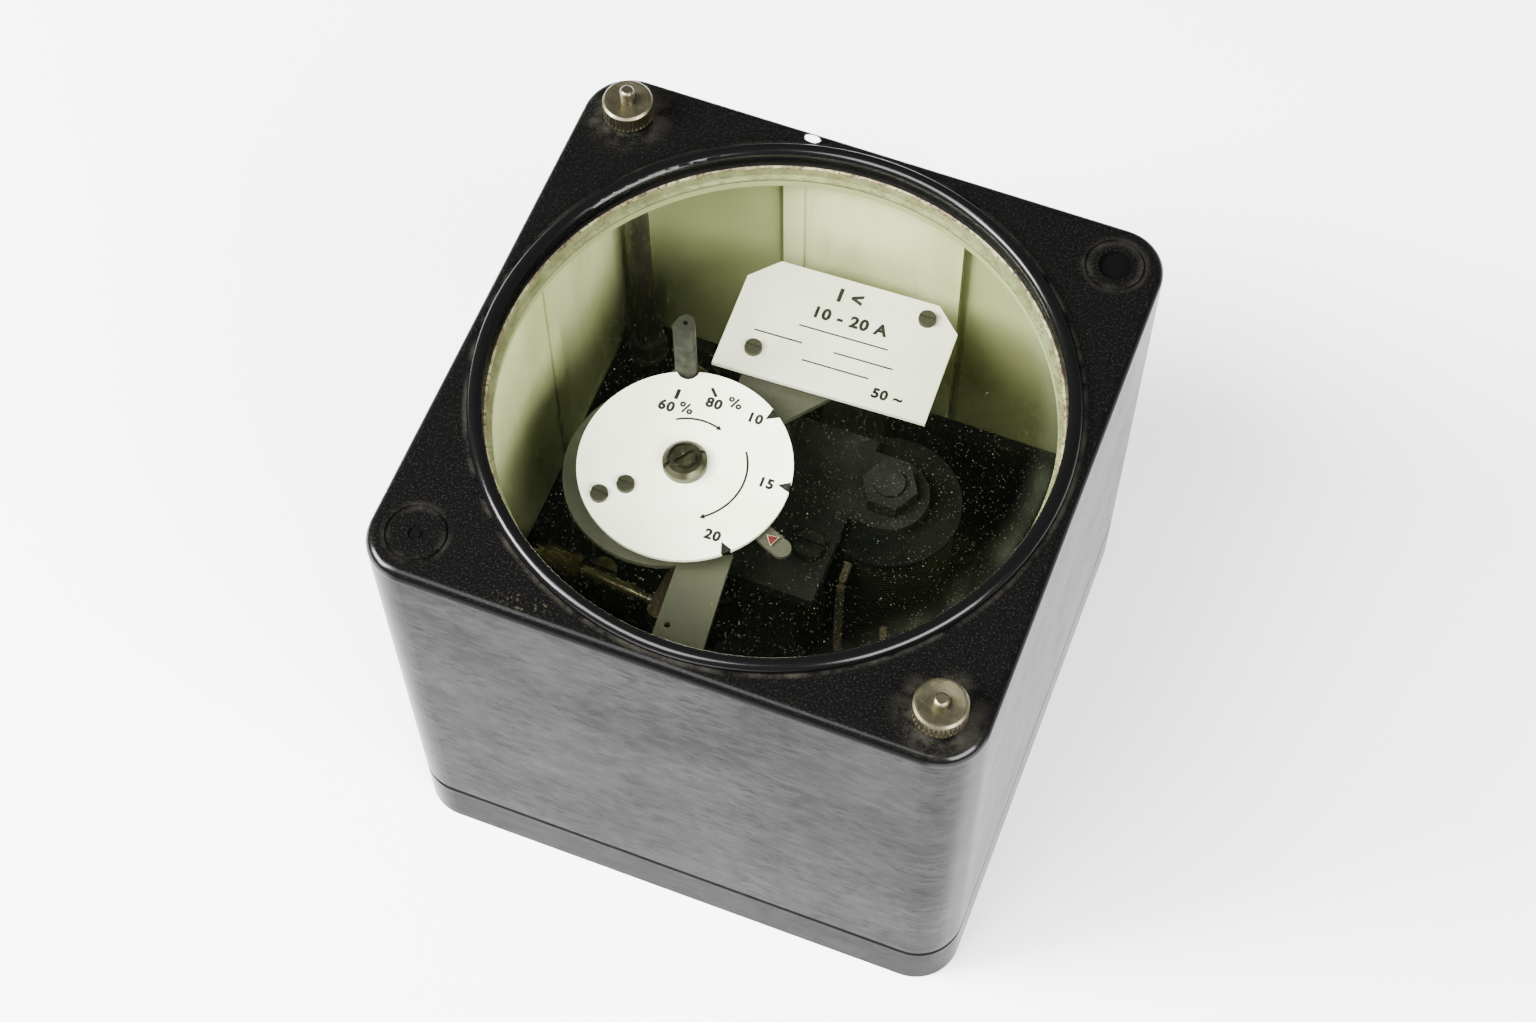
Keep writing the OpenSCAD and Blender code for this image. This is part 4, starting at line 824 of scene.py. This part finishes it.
def finger_arrow():
    """The red arrow on the setting finger, with a pale rim that is a painted highlight along its
    edge.
    """
    turn = Matrix.Rotation(math.radians(FINGER_ANGLE), 2)
    x, y = DIAL + turn @ Vector((ARROW_REACH, 0))
    z = top_of("pointer_arm") + INK_DEPTH / 2
    for name, radius, lift, finish in (
            ("finger_arrow_highlight", ARROW_HIGHLIGHT, 0, arrow_highlight_ink),
            ("finger_arrow", ARROW_SIZE, INK_DEPTH, red_ink)):
        shape = bmesh.new()
        print_arrow(shape, radius, at(x, y, z + lift, FINGER_ANGLE + 90))
        add_piece(name, shape, "setting_finger", finish)


def crumble_lip(shape):
    """Moves the inner edge of the cement's lip in and out by noise."""
    for vert in shape.verts:
        if abs(vert.co.xy.length - LIP_RADIUS) < CEMENT_GAP / 2:
            around = Vector((vert.co.x, vert.co.y, 0)).normalized() * LIP_WAVES
            swell = noise.fractal(around, 0.6, 2.1, 4)
            crumble = noise.noise(around * 7 + Vector((0, 0, 7)))
            inward = min(max(LIP_SWELL * swell + LIP_CRUMBLE * crumble, LIP_LEAST), LIP_MOST)
            vert.co.xy *= (LIP_RADIUS - inward) / LIP_RADIUS


def glazing_cement():
    """The cement round the glass: its bed, its side, and an uneven lip over the glass's edge."""
    shape = bmesh.new()
    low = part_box("glass_cement")[0][2] / MM + CEMENT_GAP
    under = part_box("window_glass")[0][2] / MM - CEMENT_GAP
    over = GLASS_TOP + CEMENT_GAP
    beside = GLASS_RADIUS + CEMENT_GAP
    section = (
        (LEDGE_RADIUS, low), (CEMENT_RADIUS, low),
        (CEMENT_RADIUS, GLASS_TOP + LIP_BACK), (LIP_RADIUS, GLASS_TOP + LIP_FRONT),
        (LIP_RADIUS, over), (beside, over), (beside, under), (LEDGE_RADIUS, under))
    ring = [shape.verts.new((r, 0, z)) for r, z in section]
    edges = [shape.edges.new(pair) for pair in zip(ring, ring[1:] + ring[:1])]
    bmesh.ops.spin(
        shape, geom=[*ring, *edges], cent=(0, 0, 0), axis=UP, angle=2 * math.pi,
        steps=CEMENT_STEPS, use_merge=True)
    bmesh.ops.remove_doubles(shape, verts=shape.verts, dist=CEMENT_GAP / 20)
    crumble_lip(shape)
    bmesh.ops.recalc_face_normals(shape, faces=shape.faces)
    piece = add_piece("window_cement", shape, "cover_body", finishes["cement"])
    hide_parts("glass_cement")


black_ink = ink_finish("black_print", shade(3, 3, 3), shade(9, 9, 8))
red_ink = ink_finish("red_print", shade(64, 6, 8), shade(72, 14, 14))
# A painted highlight: the pale rim round the finger's red arrow.
arrow_highlight_ink = ink_finish("arrow_highlight_print", shade(122, 120, 110), shade(100, 97, 86))
dial_print()
label_print()
finger_arrow()
glazing_cement()


def studio_floor():
    """A wide sheet of white paper under the case."""
    shape = bmesh.new()
    bmesh.ops.create_grid(shape, x_segments=1, y_segments=1, size=FLOOR_HALF)
    mesh_object("studio_floor", shape, floor_finish())


def softbox(name, direction, distance, size, power):
    """A soft rectangular light that looks at the case's middle."""
    lamp = bpy.data.lights.new(name, "AREA")
    lamp.shape = "RECTANGLE"
    lamp.size, lamp.size_y = size
    lamp.energy = power
    box = bpy.data.objects.new(name, lamp)
    bpy.context.scene.collection.objects.link(box)
    towards = Vector(direction).normalized()
    box.location = CAMERA_TARGET + towards * distance
    box.rotation_euler = towards.to_track_quat("Z", "Y").to_euler()


def studio_sky():
    """A fill that is bright at the horizon and dark overhead, where the black cover reflects it."""
    world = bpy.data.worlds.new("studio_sky")
    bpy.context.scene.world = world
    sky = Nodes(world)
    direction = sky.node("ShaderNodeTexCoord", {}, {}, "Generated")
    height = sky.node("ShaderNodeSeparateXYZ", {}, {"Vector": direction}, "Z")
    glow = sky.mix(sky.ramp(height, SKY_EDGE, SKY_DARK), SKY_HORIZON, SKY_OVERHEAD)
    background = sky.node("ShaderNodeBackground", {}, {"Color": glow, "Strength": 1})
    sky.node("ShaderNodeOutputWorld", {}, {"Surface": background})


def photo_camera():
    """The photograph's camera: its turn, tilt and roll about the target."""
    azimuth, elevation, roll = (math.radians(angle) for angle in (AZIMUTH, ELEVATION, ROLL))
    level = math.cos(elevation)
    back = Vector((math.sin(azimuth) * level, -math.cos(azimuth) * level, math.sin(elevation)))
    right = UP.cross(back).normalized()
    above = back.cross(right)
    turned_right = math.cos(roll) * right + math.sin(roll) * above
    turned_above = math.cos(roll) * above - math.sin(roll) * right
    lens = bpy.data.cameras.new("photo_camera")
    lens.sensor_width = SENSOR
    lens.sensor_fit = "HORIZONTAL"
    lens.lens = SENSOR * FOCAL_PIXELS / PHOTO_WIDTH
    lens.clip_start = CAMERA_NEAR
    camera = bpy.data.objects.new("photo_camera", lens)
    bpy.context.scene.collection.objects.link(camera)
    axes = Matrix((turned_right, turned_above, back)).transposed().to_4x4()
    camera.matrix_world = Matrix.Translation(CAMERA_TARGET + back * CAMERA_DISTANCE) @ axes
    bpy.context.scene.camera = camera


studio_floor()
studio_sky()
for light in SOFTBOXES:
    softbox(*light)
photo_camera()
